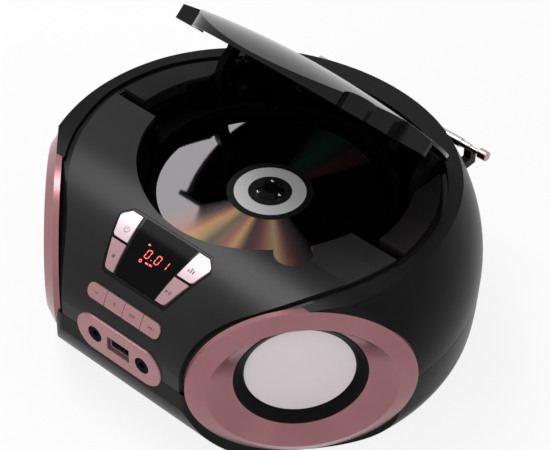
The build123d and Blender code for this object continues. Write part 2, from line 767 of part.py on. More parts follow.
def opened(shape):
    """A piece of the lid, turned from shut to open about the hinge."""
    return Pos(0, HINGE_Y, HINGE_Z) * Rot(-LID_OPEN_ANGLE, 0, 0) * Pos(0, -HINGE_Y, -HINGE_Z) * shape


def make_lid_shut():
    top = LID_APEX + 1.0
    low = LID_FRONT_BOTTOM - LID_FRONT_DROP
    block = prism(lid_plan(), low, top) & lid_cap(0.0)
    hollow = prism(lid_plan(LID_WALL), low - 1.0, top) & lid_cap(LID_WALL)
    behind = slab(-BIG, BIG, LID_SKIRT_BACK_Y, BIG, low - 1.0, LID_SIDE_BOTTOM)
    return (block & lid_slope()) - behind - hollow


def lid_slope():
    """Everything above the lower edge of the lid's front, which drops towards the front."""
    low = LID_FRONT_BOTTOM - LID_FRONT_DROP
    ahead = -LID_TIP_RADIUS - 5.0
    side = Polyline((LID_FRONT_Y, LID_FRONT_BOTTOM), (-LID_TIP_RADIUS, low), (ahead, low), (ahead, BIG),
                    (BIG, BIG), (BIG, LID_FRONT_BOTTOM), close=True)
    across = Plane(origin=(-BIG, 0, 0), x_dir=(0, 1, 0), z_dir=(1, 0, 0))
    return extrude(across * make_face(side), amount=2 * BIG)


def lid_cap(inset):
    """All that is under the lid's top, which is a shallow arch that falls away faster in front."""
    half = LID_HALF_WIDTH + 20.0
    crown = LID_APEX - inset
    radius = LID_ACROSS_RADIUS - inset
    edge = crown - radius + sqrt(radius ** 2 - half ** 2)
    across = Plane(origin=(0, LID_CROWN_Y, 0), x_dir=(1, 0, 0), z_dir=(0, -1, 0))
    cap = []
    for fall, sweep in ((LID_FORWARD_RADIUS, 45.0), (LID_BACKWARD_RADIUS, -12.0)):
        low = LID_APEX - fall
        arch = face_of([
            Line((-half, low), (-half, edge)),
            ThreePointArc((-half, edge), (0, crown), (half, edge)),
            Line((half, edge), (half, low)),
            Line((half, low), (-half, low)),
        ])
        cap.append(revolve(across * arch, Axis((0, LID_CROWN_Y, low), (1, 0, 0)), revolution_arc=sweep))
    return cap[0] + cap[1]


def make_lid_liner_shut():
    low = LID_SIDE_BOTTOM + LINER_DROP
    plate = prism(lid_plan(LID_WALL + FIT_GAP), low, low + LINER_THICKNESS) & lid_cap(LID_WALL + FIT_GAP)
    places = ((-18.0, -38.0), (18.0, -38.0), (62.0, -6.0))
    posts = [Pos(x, y, low - 5.5) * Cylinder(2.0, 11.4) for x, y in places]
    peg = Pos(LID_HALF_WIDTH - 9.0, LID_FRONT_Y + 3.6, low - 2.3) * Cylinder(1.2, 4.6)
    return plate + posts + peg + mirrored(peg)


def gear_outline(teeth, first, count, root_radius):
    """Toothed sector about the origin: tooth flanks follow an involute-like taper."""
    pitch = teeth * GEAR_MODULE / 2
    tip = pitch + 0.8 * GEAR_MODULE
    root = pitch - 1.1 * GEAR_MODULE
    step = 2 * pi / teeth
    points = []
    for k in range(count):
        middle = first + k * step
        for radius, half in ((root, 0.30), (pitch, 0.19), (tip, 0.10)):
            points.append((radius * cos(middle - half * step), radius * sin(middle - half * step)))
        for radius, half in ((tip, 0.10), (pitch, 0.19), (root, 0.30)):
            points.append((radius * cos(middle + half * step), radius * sin(middle + half * step)))
    if count < teeth:
        end = first + (count - 1) * step
        points.append((root_radius * cos(end), root_radius * sin(end)))
        points.append((root_radius * cos(first), root_radius * sin(first)))
    return make_face(Polyline(*points, close=True))


def hinge_plane(x):
    """Plane across the hinge line, with Y and Z as its own X and Y."""
    return Plane(origin=(x, HINGE_Y, HINGE_Z), x_dir=(0, 1, 0), z_dir=(1, 0, 0))


def pinion_centre():
    """Centre of the damper's pinion, as Y and Z."""
    reach = (SECTOR_TEETH + PINION_TEETH) * GEAR_MODULE / 2
    turn = radians(PINION_ANGLE)
    return HINGE_Y + reach * cos(turn), HINGE_Z + reach * sin(turn)


def arm_outline(toothed):
    """One bent arm, open, as seen along the hinge line."""
    pitch = SECTOR_TEETH * GEAR_MODULE / 2
    step = 2 * pi / SECTOR_TEETH
    mesh = radians(PINION_ANGLE)
    root = pitch - 1.1 * GEAR_MODULE
    back = 6
    ahead = 1
    start = mesh - back * step
    finish = mesh + ahead * step
    hub = [Line((0, 0), (root * cos(start - step), root * sin(start - step))),
           ThreePointArc((root * cos(start - step), root * sin(start - step)),
                         (root * cos((start + finish) / 2), root * sin((start + finish) / 2)),
                         (root * cos(finish), root * sin(finish))),
           Line((root * cos(finish), root * sin(finish)), (0, 0))]
    strap = [ThreePointArc((-13.0, 3.0), (-17.4, 17.0), (-7.5, 30.8)),
             Polyline((-7.5, 30.8), (-5.0, 35.2), (1.0, 29.7), (-0.5, 27.0)),
             ThreePointArc((-0.5, 27.0), (-10.8, 11.5), (-9.0, 0)),
             Line((-9.0, 0), (-13.0, 3.0))]
    shape = Circle(ARM_EYE_RADIUS) + face_of(hub) + face_of(strap)
    if toothed:
        shape += gear_outline(SECTOR_TEETH, start, back + ahead + 1, root - 3.0)
    return shape


def make_hinge_arm(toothed):
    """Right or left arm, already open, with the foot that carries the lid."""
    x = ARM_INNER_X if not toothed else -ARM_OUTER_X
    plate = extrude(hinge_plane(x) * arm_outline(toothed), amount=ARM_THICKNESS)
    eye = HINGE_PIN_RADIUS + RUNNING_FIT
    plate -= rod(eye, (x - 5.0, HINGE_Y, HINGE_Z), (x + 15.0, HINGE_Y, HINGE_Z))
    under = LID_SIDE_BOTTOM + LINER_DROP
    middle = x + ARM_THICKNESS / 2
    foot = slab(middle - 3.6, middle + 3.6, 13.0, 28.0, under - 2.0, under)
    above = slab(-BIG, BIG, -BIG, BIG, under - 0.01, BIG)
    return (plate + opened(foot)) - opened(above)


def make_hinge_pins():
    pin = rod(HINGE_PIN_RADIUS, (ARM_INNER_X - 4.7, HINGE_Y, HINGE_Z),
              (TROUGH_HALF_WIDTH + 1.4, HINGE_Y, HINGE_Z))
    return both_sides(pin)


def make_damper_gear():
    y, z = pinion_centre()
    plane = Plane(origin=(-ARM_OUTER_X, y, z), x_dir=(0, 1, 0), z_dir=(1, 0, 0))
    step = 2 * pi / PINION_TEETH
    facing = radians(PINION_ANGLE) + pi + step / 2
    wheel = extrude(plane * gear_outline(PINION_TEETH, facing, PINION_TEETH, 0), amount=ARM_THICKNESS)
    return wheel - rod(1.2 + RUNNING_FIT, (-BIG, y, z), (BIG, y, z))


def make_damper_body():
    y, z = pinion_centre()
    can = rod(6.5, (-TROUGH_HALF_WIDTH, y, z), (-ARM_OUTER_X - 0.4, y, z))
    return can + rod(1.2, (-TROUGH_HALF_WIDTH, y, z), (-ARM_INNER_X + 0.5, y, z))


def make_speaker_ring():
    """Bezel with a sloping inner cup that runs back to the speaker's frame."""
    thin = RING_WALL
    foot = FRAME_FLANGE
    round_out = SURROUND_RADIUS + FIT_GAP
    outer = speaker_taper([(foot, RING_HALF_WIDTH, RING_HALF_HEIGHT, RING_DROP),
                           (RING_RISE, RING_HALF_WIDTH, RING_HALF_HEIGHT, RING_DROP),
                           (CREST_RISE, CREST_HALF_WIDTH + 0.4, CREST_HALF_HEIGHT + 0.4, 0.0)])
    cup = speaker_taper([(foot - 1.0, round_out, round_out, 0.0),
                         (SURROUND_RISE, round_out, round_out, 0.0),
                         (CREST_RISE + 0.01, CREST_HALF_WIDTH - 0.4, CREST_HALF_HEIGHT - 0.4, 0.0)])
    inside = speaker_taper([(foot - 1.0, RING_HALF_WIDTH - thin, RING_HALF_HEIGHT - thin, RING_DROP),
                            (RING_RISE - 0.8, RING_HALF_WIDTH - thin, RING_HALF_HEIGHT - thin, RING_DROP),
                            (CREST_RISE - thin, CREST_HALF_WIDTH + 0.4, CREST_HALF_HEIGHT + 0.4, 0.0)])
    cup_wall = speaker_taper([(foot - 2.0, round_out + thin, round_out + thin, 0.0),
                              (SURROUND_RISE, round_out + thin, round_out + thin, 0.0),
                              (CREST_RISE + 1.0, CREST_HALF_WIDTH + thin, CREST_HALF_HEIGHT + thin, 0.0)])
    skirt = RING_RISE - RING_SKIRT
    far = speaker_taper([(foot - 1.0, RING_HALF_WIDTH + 9.0, RING_HALF_HEIGHT + 9.0, RING_DROP),
                         (skirt, RING_HALF_WIDTH + 9.0, RING_HALF_HEIGHT + 9.0, RING_DROP)])
    near = speaker_taper([(foot - 2.0, RING_HALF_WIDTH - 8.0, RING_HALF_HEIGHT - 8.0, RING_DROP),
                          (skirt + 1.0, RING_HALF_WIDTH - 8.0, RING_HALF_HEIGHT - 8.0, RING_DROP)])
    return outer - cup - (inside - cup_wall) - (far - near)


def turned_on_speaker(points):
    """Solid turned about the speaker's axis from a closed outline of radius and rise."""
    profile = make_face(Polyline(*points, close=True))
    base = speaker_plane(0.0)
    upright = Plane(origin=base.origin, x_dir=base.x_dir, z_dir=-base.y_dir)
    solid = revolve(upright * profile, Axis(base.origin, base.z_dir))
    return solid


def make_speaker_cone():
    return turned_on_speaker([(0, 0), (CONE_RADIUS, 0), (CONE_RADIUS, -1.2), (10.0, -14.0), (0, -14.0)])


def make_speaker_surround():
    inner = CONE_RADIUS
    outer = SURROUND_RADIUS
    return turned_on_speaker([(inner, 0), (inner + 0.8, 1.2), (outer - 1.0, SURROUND_RISE - 0.4),
                              (outer, SURROUND_RISE - 0.4), (outer, SURROUND_RISE - 2.0),
                              (inner + 1.6, -0.6), (inner, -1.0)])


def make_speaker_frame():
    """Basket behind the cone, with a flange that the ring's cup stands on."""
    rim = SURROUND_RADIUS - 0.2
    back = -BASKET_DEPTH
    top = FRAME_FLANGE
    thick = 1.2
    return turned_on_speaker([(rim - 1.5, 0.6), (rim - 0.2, 2.0), (rim - 0.2, top), (rim + 6.0, top),
                              (rim + 6.0, top - thick), (rim + 2.0, top - thick),
                              (MAGNET_RADIUS + 2.5, back), (11.0, back), (11.0, back + thick),
                              (MAGNET_RADIUS + 1.5, back + thick), (rim - 2.0, top)])


def make_speaker_magnet():
    back = -BASKET_DEPTH
    return turned_on_speaker([(0, back), (MAGNET_RADIUS, back), (MAGNET_RADIUS, back - MAGNET_LENGTH),
                              (0, back - MAGNET_LENGTH)])


def make_display_window():
    pane = through(CLUSTER_PLANE, window_outline()) & case_solid(WINDOW_DROP)
    return pane - case_solid(WINDOW_DROP + WINDOW_THICKNESS)


def make_cluster_bezel():
    """Dark frame round the window and its four keys."""
    plate = (through(CLUSTER_PLANE, cluster_outline()) & case_solid(0.3)) - CASE_INNER
    plate -= through(CLUSTER_PLANE, window_outline())
    for key in (upper_key_outline(), lower_key_outline()):
        hole = through(CLUSTER_PLANE, offset(key, KEY_GAP))
        plate -= hole
        plate -= mirrored(hole)
    return plate


def make_display_module():
    return extrude(CLUSTER_PLANE.offset(-BOARD_DROP) * Rectangle(24.0, 20.0), amount=2.4)


def make_control_board():
    plane = CLUSTER_PLANE.offset(-BOARD_DROP - BOARD_THICKNESS)
    board = Pos(0, -4.0) * Rectangle(2 * BOARD_POST_X + 4.0, 22.0)
    return extrude(plane * board, amount=BOARD_THICKNESS)


def make_key_row_board():
    plane = ROW_PLANE.offset(-BOARD_DROP - BOARD_THICKNESS)
    return extrude(plane * Rectangle(2 * ROW_POST_X + 4.0, 10.0), amount=BOARD_THICKNESS)


def board_posts():
    """Posts under the deck that carry the two key boards."""
    reach = BOARD_DROP - 1.2
    post = Circle(2.0)
    posts = extrude(CLUSTER_PLANE.offset(-BOARD_DROP) * (Pos(BOARD_POST_X, -3.0) * post), amount=reach)
    posts += extrude(ROW_PLANE.offset(-BOARD_DROP) * (Pos(ROW_POST_X, 0) * post), amount=reach)
    return posts + mirrored(posts)


def key_cap(plane, outline, tilt):
    """Key cap that follows the case's surface and stands a little proud of it."""
    turn = radians(tilt)
    raised = Pos(0, -KEY_PROUD * sin(turn), KEY_PROUD * cos(turn)) * CASE_OUTER
    cap = extrude(plane * outline, amount=12.0, both=True) & raised
    return cap - case_solid(KEY_DEPTH - KEY_PROUD)


def key_stem(plane, x, y):
    """Round stem under a key, which stops above its board by the travel and a gap."""
    return extrude(plane.offset(-STEM_BOTTOM) * (Pos(x, y) * Circle(STEM_RADIUS)), amount=STEM_LENGTH)


def make_cluster_key(outline, side, stem):
    """One key beside the display, with the stem that works its switch."""
    shape = outline if side > 0 else mirror(outline, about=Plane.YZ)
    cap = key_cap(CLUSTER_PLANE, shape, CLUSTER_TILT)
    return cap + key_stem(CLUSTER_PLANE, side * stem[0], stem[1])


def make_row_key(index):
    """One key of the row, with its stem."""
    cap = key_cap(ROW_PLANE, row_key_outline(index), KEY_ROW_TILT)
    return cap + key_stem(ROW_PLANE, (index - 1.5) * KEY_WIDTH, 0)


def make_jack_panel():
    plate = panel_block(-FREE_GAP / 3, FRONT_Y - PANEL_PROUD, FRONT_Y - PANEL_PROUD + PANEL_THICKNESS)
    plate = fillet(plate.edges().group_by(Axis.Y)[0], radius=0.6)
    for x in (-JACK_X, JACK_X):
        plate -= rod(JACK_RADIUS, (x, -BIG, PANEL_Z), (x, 0, PANEL_Z))
    hole = Pos(0, FRONT_Y, PANEL_Z) * Box(USB_WIDTH + 2.4, 30.0, USB_HEIGHT + 3.0)
    return plate - hole


def make_jack(x):
    front = FRONT_Y - PANEL_PROUD + 0.4
    back = front + JACK_LENGTH
    body = rod(JACK_RADIUS, (x, front, PANEL_Z), (x, back, PANEL_Z))
    block = slab(x - 5.5, x + 5.5, FRONT_Y + PANEL_THICKNESS - PANEL_PROUD, back,
                 PANEL_Z - 5.0, PANEL_Z + 5.0)
    return body + block - rod(JACK_BORE_RADIUS, (x, front - 1.0, PANEL_Z), (x, back - 1.0, PANEL_Z))


def make_usb_socket():
    front = FRONT_Y + 0.5
    half = USB_WIDTH / 2
    low = PANEL_Z - USB_HEIGHT / 2
    high = PANEL_Z + USB_HEIGHT / 2
    thin = 0.4
    tube = slab(-half, half, front, front + 14.0, low, high)
    inside = slab(-half + thin, half - thin, front - 1.0, front + 12.0, low + thin, high - thin)
    tongue = slab(-5.5, 5.5, front + 2.0, front + 12.5, PANEL_Z + 0.4, PANEL_Z + 2.1)
    flange_y = FRONT_Y - PANEL_PROUD + PANEL_THICKNESS
    flange = slab(-half - 2.5, half + 2.5, flange_y, flange_y + 1.0, low - 2.5, high + 2.5)
    return (tube + flange) - inside + tongue


def make_socket_board():
    plane_y = FRONT_Y - PANEL_PROUD + 0.4 + JACK_LENGTH
    board = slab(-26.0, 26.0, plane_y, plane_y + BOARD_THICKNESS, PANEL_Z - 9.0, PANEL_Z + 9.0)
    usb = slab(-USB_WIDTH / 2 - 0.1, USB_WIDTH / 2 + 0.1, plane_y - 5.0, plane_y + 5.0,
               PANEL_Z - USB_HEIGHT / 2 - 0.1, PANEL_Z + USB_HEIGHT / 2 + 0.1)
    return board - usb


def make_main_board():
    z = bay_top() + 1.6
    return slab(-62.0, 40.0, -24.0, 30.0, z, z + BOARD_THICKNESS)


def make_transformer():
    base = bay_top()
    core = slab(52.0, 76.0, -2.0, 40.0, base, base + 27.0)
    winding = slab(49.0, 79.0, 8.0, 30.0, base + 3.0, base + 24.0)
    return core + winding


def inlet_block():
    """Space of the mains inlet in the back wall."""
    return slab(INLET_X - INLET_HALF_WIDTH, INLET_X + INLET_HALF_WIDTH, CASE_BACK_Y - INLET_DEPTH,
                CASE_BACK_Y + INLET_DEPTH, INLET_Z - INLET_HALF_HEIGHT, INLET_Z + INLET_HALF_HEIGHT)


def make_ac_inlet():
    """Mains inlet with an oval recess and two pins."""
    floor = CASE_BACK_Y - INLET_RECESS
    foot = floor - 1.0
    block = inlet_block() & case_solid(0.6)
    plane = Plane(origin=(INLET_X, floor, INLET_Z), x_dir=(-1, 0, 0), z_dir=(0, 1, 0))
    block -= extrude(plane * SlotOverall(17.0, 9.0), amount=30.0)
    for x in (INLET_X - 4.3, INLET_X + 4.3):
        block += rod(1.2, (x, foot, INLET_Z), (x, foot + INLET_PIN_LENGTH, INLET_Z))
    return block


def cell_height():
    """Height of the cells' middle line."""
    return FOOT_HEIGHT + WALL + CELL_RADIUS


def make_battery_cells():
    z = cell_height()
    nub = 1.5
    cells = []
    for y in CELL_ROWS_Y:
        for k in (-1, 0, 1):
            end = k * (CELL_LENGTH + 0.2) + CELL_LENGTH / 2
            can = rod(CELL_RADIUS, (end - CELL_LENGTH, y, z), (end - nub, y, z))
            cells.append(can + rod(3.0, (end - nub, y, z), (end, y, z)))
    return Compound(cells)


def make_battery_contacts():
    z = cell_height()
    end = 1.5 * CELL_LENGTH + 0.2
    plates = []
    for y in CELL_ROWS_Y:
        plate = slab(end, BAY_HALF_WIDTH + 1.0, y - 5.0, y + 5.0, z - 5.0, z + 5.0)
        plates += [plate, mirrored(plate)]
    return Compound(plates)


def make_battery_cover():
    """Sliding cover with finger ribs below and tongues that hook over the bay floor."""
    inner = COVER_HALF_WIDTH - 0.8
    low = FOOT_HEIGHT + WALL
    wide = COVER_HALF_WIDTH
    plate = slab(-wide, wide, BAY_FRONT_Y, BAY_BACK_Y, FOOT_HEIGHT, low - FREE_GAP)
    for y in (28.0, 31.0, 34.0, 37.0):
        plate -= slab(-12.0, 12.0, y, y + 1.0, FOOT_HEIGHT - 0.5, FOOT_HEIGHT + 0.5)
    for y in (-12.0, 12.0, 38.0):
        tongue = slab(inner, COVER_HALF_WIDTH, y, y + 6.0, low - 1.0, low + 1.3)
        tongue += slab(inner, COVER_HALF_WIDTH + 2.5, y, y + 6.0, low + FREE_GAP, low + 1.3)
        plate += tongue
        plate += mirrored(tongue)
    return plate


def make_rubber_feet():
    return Compound([Pos(x, y, (FOOT_HEIGHT + 1.0) / 2) * Cylinder(FOOT_RADIUS, FOOT_HEIGHT + 1.0)
                     for x, y in FOOT_PLACES])


def make_case_screws():
    screws = []
    seat = SCREW_LAND - 2.4
    for x, y in screw_places():
        head = Pos(x, y, seat - 1.2) * Cylinder(SCREW_HEAD_RADIUS, 2.4)
        screws.append(head + prism(Pos(x, y) * Circle(SCREW_RADIUS), seat, SCREW_LAND + SCREW_LENGTH))
    return Compound(screws)


def case_back_y(x, z):
    """Y of the case's back surface at a given side position and height."""
    drop = (z - WAIST_HEIGHT) / (CASE_TOP - WAIST_HEIGHT)
    radius = CASE_TOP_RADIUS + (CASE_RADIUS - CASE_TOP_RADIUS) * (1 - max(drop, 0.0) ** 2.66)
    return CASE_CENTRE_Y + sqrt(radius ** 2 - x ** 2)


def make_aerial_bracket():
    """Housing on the case's back that carries the aerial's swivel."""
    x = AERIAL_PIVOT_X
    start = case_back_y(x, AERIAL_Z) - 12.0
    end = AERIAL_Y - 6.5
    base = slab(x - 9.0, x + 9.0, start, end - 5.0, AERIAL_Z - 8.0, AERIAL_Z + 8.0)
    base = fillet(base.edges().filter_by(Axis.Y), radius=3.0)
    housing = (base + rod(5.5, (x, start, AERIAL_Z), (x, end, AERIAL_Z))) - CASE_OUTER
    return housing - rod(2.0 + RUNNING_FIT, (x, end - 8.0, AERIAL_Z), (x, AERIAL_Y, AERIAL_Z))


def make_aerial_yoke():
    x = AERIAL_PIVOT_X
    stub = rod(2.0, (x, AERIAL_Y - 13.5, AERIAL_Z), (x, AERIAL_Y - 5.0, AERIAL_Z))
    collar = rod(4.6, (x, AERIAL_Y - 6.2, AERIAL_Z), (x, AERIAL_Y - 4.2, AERIAL_Z))
    cheeks = slab(x - 4.0, x + 4.0, AERIAL_Y - 4.4, AERIAL_Y + 3.5, AERIAL_Z - 4.0, AERIAL_Z + 4.0)
    gap = slab(x - 10.0, x + 10.0, AERIAL_Y - 3.6, AERIAL_Y + 5.0, AERIAL_Z - 1.8, AERIAL_Z + 1.8)
    pin = rod(1.0, (x, AERIAL_Y, AERIAL_Z - 4.0), (x, AERIAL_Y, AERIAL_Z + 4.0))
    return stub + collar + (cheeks - gap) + pin


def make_aerial_tube(index):
    """One telescoping section; the last carries the cap."""
    x = AERIAL_PIVOT_X
    last = len(AERIAL_RADII) - 1
    start = x + 8.0 + 4.0 * index
    end = AERIAL_CAP_X - 6.0 - AERIAL_STEP * (last - index)
    radius = AERIAL_RADII[index]
    tube = rod(radius, (start, AERIAL_Y, AERIAL_Z), (end, AERIAL_Y, AERIAL_Z))
    if index < last:
        bore = AERIAL_RADII[index + 1] + RUNNING_FIT
        tube -= rod(bore, (start + 2.0, AERIAL_Y, AERIAL_Z), (end + 1.0, AERIAL_Y, AERIAL_Z))
    if index == 0:
        tube += slab(x, start + 1.0, AERIAL_Y - 2.6, AERIAL_Y + 2.6, AERIAL_Z - 1.5, AERIAL_Z + 1.5)
        tube += Pos(x, AERIAL_Y, AERIAL_Z) * Cylinder(2.6, 3.0)
        tube -= rod(1.0 + RUNNING_FIT, (x, AERIAL_Y, AERIAL_Z - 5.0), (x, AERIAL_Y, AERIAL_Z + 5.0))
    if index == last:
        cap = rod(2.9, (end, AERIAL_Y, AERIAL_Z), (AERIAL_CAP_X, AERIAL_Y, AERIAL_Z))
        tube += fillet(cap.edges().filter_by(GeomType.CIRCLE), radius=0.8)
    return tube


def make_aerial_clip():
    """Hook on the case's back with an open cradle for the aerial."""
    half = 2.5
    root = case_back_y(CLIP_X, AERIAL_Z) - 8.0
    gap = AERIAL_RADII[1] + FREE_GAP
    low = AERIAL_Z - 9.0
    back = AERIAL_Y + 1.0
    bar = slab(CLIP_X - half, CLIP_X + half, root, back, low, AERIAL_Z - gap - 1.5)
    cradle = slab(CLIP_X - half, CLIP_X + half, AERIAL_Y - gap - 1.5, back, low, AERIAL_Z + 1.0)
    seat = rod(gap, (CLIP_X - 5.0, AERIAL_Y, AERIAL_Z), (CLIP_X + 5.0, AERIAL_Y, AERIAL_Z))
    mouth = slab(CLIP_X - 5.0, CLIP_X + 5.0, AERIAL_Y - gap, AERIAL_Y + 8.0, AERIAL_Z, AERIAL_Z + 8.0)
    return (bar + cradle) - seat - mouth - CASE_OUTER


def all_parts():
    """Every node by name."""
    ledge = make_ledge()
    trim = make_groove_trim()
    parts = {
        "lower_shell": make_lower_shell(),
        "upper_shell": make_upper_shell(),
        "groove_trim": trim,
        "deck": make_deck(),
        "lid_ledge": ledge,
        "disc_well": make_disc_well(ledge, trim),
        "disc": make_disc(),
        "turntable": make_turntable(),
        "hub_balls": make_hub_balls(),
        "motor_shaft": make_motor_shaft(),
        "spindle_motor": make_spindle_motor(),
        "pickup_sled": make_pickup_sled(),
        "pickup_lens": make_pickup_lens(),
        "sled_rods": make_sled_rods(),
        "lid": opened(make_lid_shut()),
        "lid_liner": opened(make_lid_liner_shut()),
        "hinge_arm_left": make_hinge_arm(True),
        "hinge_arm_right": make_hinge_arm(False),
        "hinge_pins": make_hinge_pins(),
        "damper_gear": make_damper_gear(),
        "damper_body": make_damper_body(),
        "cluster_bezel": make_cluster_bezel(),
        "display_window": make_display_window(),
        "display_module": make_display_module(),
        "control_board": make_control_board(),
        "key_row_board": make_key_row_board(),
        "jack_panel": make_jack_panel(),
        "aux_jack": make_jack(-JACK_X),
        "headphone_jack": make_jack(JACK_X),
        "usb_socket": make_usb_socket(),
        "socket_board": make_socket_board(),
        "main_board": make_main_board(),
        "transformer": make_transformer(),
        "ac_inlet": make_ac_inlet(),
        "battery_cells": make_battery_cells(),
        "battery_contacts": make_battery_contacts(),
        "battery_cover": make_battery_cover(),
        "rubber_feet": make_rubber_feet(),
        "case_screws": make_case_screws(),
        "aerial_bracket": make_aerial_bracket(),
        "aerial_yoke": make_aerial_yoke(),
        "aerial_clip": make_aerial_clip(),
    }
    for name, shape in (("speaker_ring", make_speaker_ring()), ("speaker_cone", make_speaker_cone())):
        parts[name + "_right"] = shape
        parts[name + "_left"] = mirrored(shape)
    parts["speaker_surrounds"] = both_sides(make_speaker_surround())
    parts["speaker_frames"] = both_sides(make_speaker_frame())
    parts["speaker_magnets"] = both_sides(make_speaker_magnet())
    upper_stem = (23.0, 8.0)
    lower_stem = (20.0, -7.0)
    parts["power_key"] = make_cluster_key(upper_key_outline(), -1, upper_stem)
    parts["mode_key"] = make_cluster_key(upper_key_outline(), 1, upper_stem)
    parts["stop_key"] = make_cluster_key(lower_key_outline(), -1, lower_stem)
    parts["play_key"] = make_cluster_key(lower_key_outline(), 1, lower_stem)
    row = ["volume_down_key", "volume_up_key", "previous_key", "next_key"]
    for index, name in enumerate(row):
        parts[name] = make_row_key(index)
    sections = ["aerial_tube_outer", "aerial_tube_middle", "aerial_tube_inner"]
    for index, name in enumerate(sections):
        parts[name] = make_aerial_tube(index)
    return parts


def main():
    os.makedirs("parts", exist_ok=True)
    to_origin = Pos(-BOX_MIDDLE_X, -BOX_MIDDLE_Y, 0)
    for name, shape in all_parts().items():
        export_step(to_origin * shape, "parts/" + name + ".step")


main()
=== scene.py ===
import logging
import math
from dataclasses import dataclass
from enum import Enum
from typing import ClassVar

import bmesh
import bpy
from mathutils import Matrix, Vector
from mathutils.bvhtree import BVHTree


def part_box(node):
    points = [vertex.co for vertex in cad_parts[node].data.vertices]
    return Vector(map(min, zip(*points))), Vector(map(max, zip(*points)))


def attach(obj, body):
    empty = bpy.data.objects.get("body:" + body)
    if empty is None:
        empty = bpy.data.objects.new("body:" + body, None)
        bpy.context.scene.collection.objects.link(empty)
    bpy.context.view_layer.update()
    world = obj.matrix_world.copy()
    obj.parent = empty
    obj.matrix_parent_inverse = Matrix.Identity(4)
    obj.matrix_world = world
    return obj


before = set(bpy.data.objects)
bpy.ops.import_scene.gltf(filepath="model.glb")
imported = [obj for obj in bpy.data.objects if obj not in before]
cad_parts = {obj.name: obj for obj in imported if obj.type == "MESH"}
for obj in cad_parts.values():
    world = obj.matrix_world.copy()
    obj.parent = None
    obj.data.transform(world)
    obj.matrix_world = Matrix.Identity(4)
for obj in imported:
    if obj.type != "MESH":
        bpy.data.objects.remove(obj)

logging.basicConfig(level=logging.INFO, format="%(message)s")
LOG = logging.getLogger("boombox")

MM = 0.001
DISC_AXIS_Y = -0.526 * MM
DISC_TOP = 83.0 * MM
DISC_RADIUS = 60.0 * MM

Colour = tuple[float, float, float]
Point = tuple[float, float]
Inputs = dict[str | int, object]
Socket = bpy.types.NodeSocket


class Body(Enum):
    """The bodies that new pieces ride on."""

    CASE = "case"
    COVER = "cover"
    POWER = "power"
    MODE = "mode"
    STOP = "stop"
    PLAY = "play"
    VOLUME_DOWN = "volume_down"
    VOLUME_UP = "volume_up"
    PREVIOUS = "previous"
    NEXT = "next"


# Node trees


class Graph:
    """A node tree, with short ways to add nodes and join them.

    An input is given a constant, another node's output, or a list of outputs.
    """

    def __init__(self, tree: bpy.types.NodeTree) -> None:
        """Keep the tree that nodes are added to."""
        self.tree = tree

    def feed(self, socket: Socket, value: object) -> None:
        """Join outputs to an input, or set the input to a constant."""
        for item in value if isinstance(value, list) else [value]:
            if isinstance(item, Socket):
                self.tree.links.new(item, socket)
            else:
                socket.default_value = item

    def set(self, node: bpy.types.Node, inputs: Inputs) -> None:
        """Feed a node's inputs, given by name or number."""
        for label, value in inputs.items():
            self.feed(node.inputs[label], value)

    def node(self, kind: str, inputs: Inputs | None = None, **settings: object) -> bpy.types.Node:
        """Add a node.

        Args:
            kind: the node's type.
            inputs: its inputs, by name or number.
            settings: its own properties, such as its operation.

        Returns:
            The node.
        """
        made = self.tree.nodes.new(kind)
        for label, value in settings.items():
            setattr(made, label, value)
        self.set(made, inputs or {})
        return made

    def place(self) -> Socket:
        """Return the object's own coordinates."""
        return self.node("ShaderNodeTexCoord").outputs["Object"]

    def math(self, operation: str, first: object, second: object, clamp: bool = False) -> Socket:
        """Return the result of a sum of two numbers."""
        made = self.node("ShaderNodeMath", {0: first, 1: second}, operation=operation, use_clamp=clamp)
        return made.outputs[0]

    def span(self, value: object, low: float, high: float, start: float = 0.0, stop: float = 1.0) -> Socket:
        """Return a number moved from the range start to stop into the range low to high."""
        ends = {"From Min": start, "From Max": stop, "To Min": low, "To Max": high}
        return self.node("ShaderNodeMapRange", {"Value": value, **ends}).outputs["Result"]

    def tone(self, factor: object, stops: list[tuple[float, Colour]], curve: str = "LINEAR") -> Socket:
        """Return a colour looked up in a list of (position, colour)."""
        made = self.node("ShaderNodeValToRGB", {"Fac": factor})
        made.color_ramp.interpolation = curve
        elements = made.color_ramp.elements
        while len(elements) > 1:
            elements.remove(elements[-1])
        elements[0].position = stops[0][0]
        elements[0].color = (*stops[0][1], 1.0)
        for place, colour in stops[1:]:
            elements.new(place).color = (*colour, 1.0)
        return made.outputs["Color"]

    def mix(self, factor: object, first: object, second: object) -> Socket:
        """Return a blend of two colours."""
        colours = {"Factor": factor, "A": first, "B": second}
        return self.node("ShaderNodeMix", colours, data_type="RGBA").outputs["Result"]

    def bump(self, height: object, strength: float, depth: float) -> Socket:
        """Return normals tilted by a height, in metres of depth."""
        relief = {"Height": height, "Strength": strength, "Distance": depth}
        return self.node("ShaderNodeBump", relief).outputs["Normal"]

    def noise(self, vector: object, scale: object, detail: float) -> Socket:
        """Return cloudy noise."""
        cloud = {"Vector": vector, "Scale": scale, "Detail": detail}
        return self.node("ShaderNodeTexNoise", cloud).outputs["Fac"]

    def effect(self, tree: bpy.types.NodeTree, **values: float) -> bpy.types.Node:
        """Place a shared effect, with this material's own values."""
        return self.node("ShaderNodeGroup", values, node_tree=tree)

    def along_x(self, length: object) -> Socket:
        """Return a vector of a given length along X."""
        return self.node("ShaderNodeCombineXYZ", {"X": length}).outputs[0]


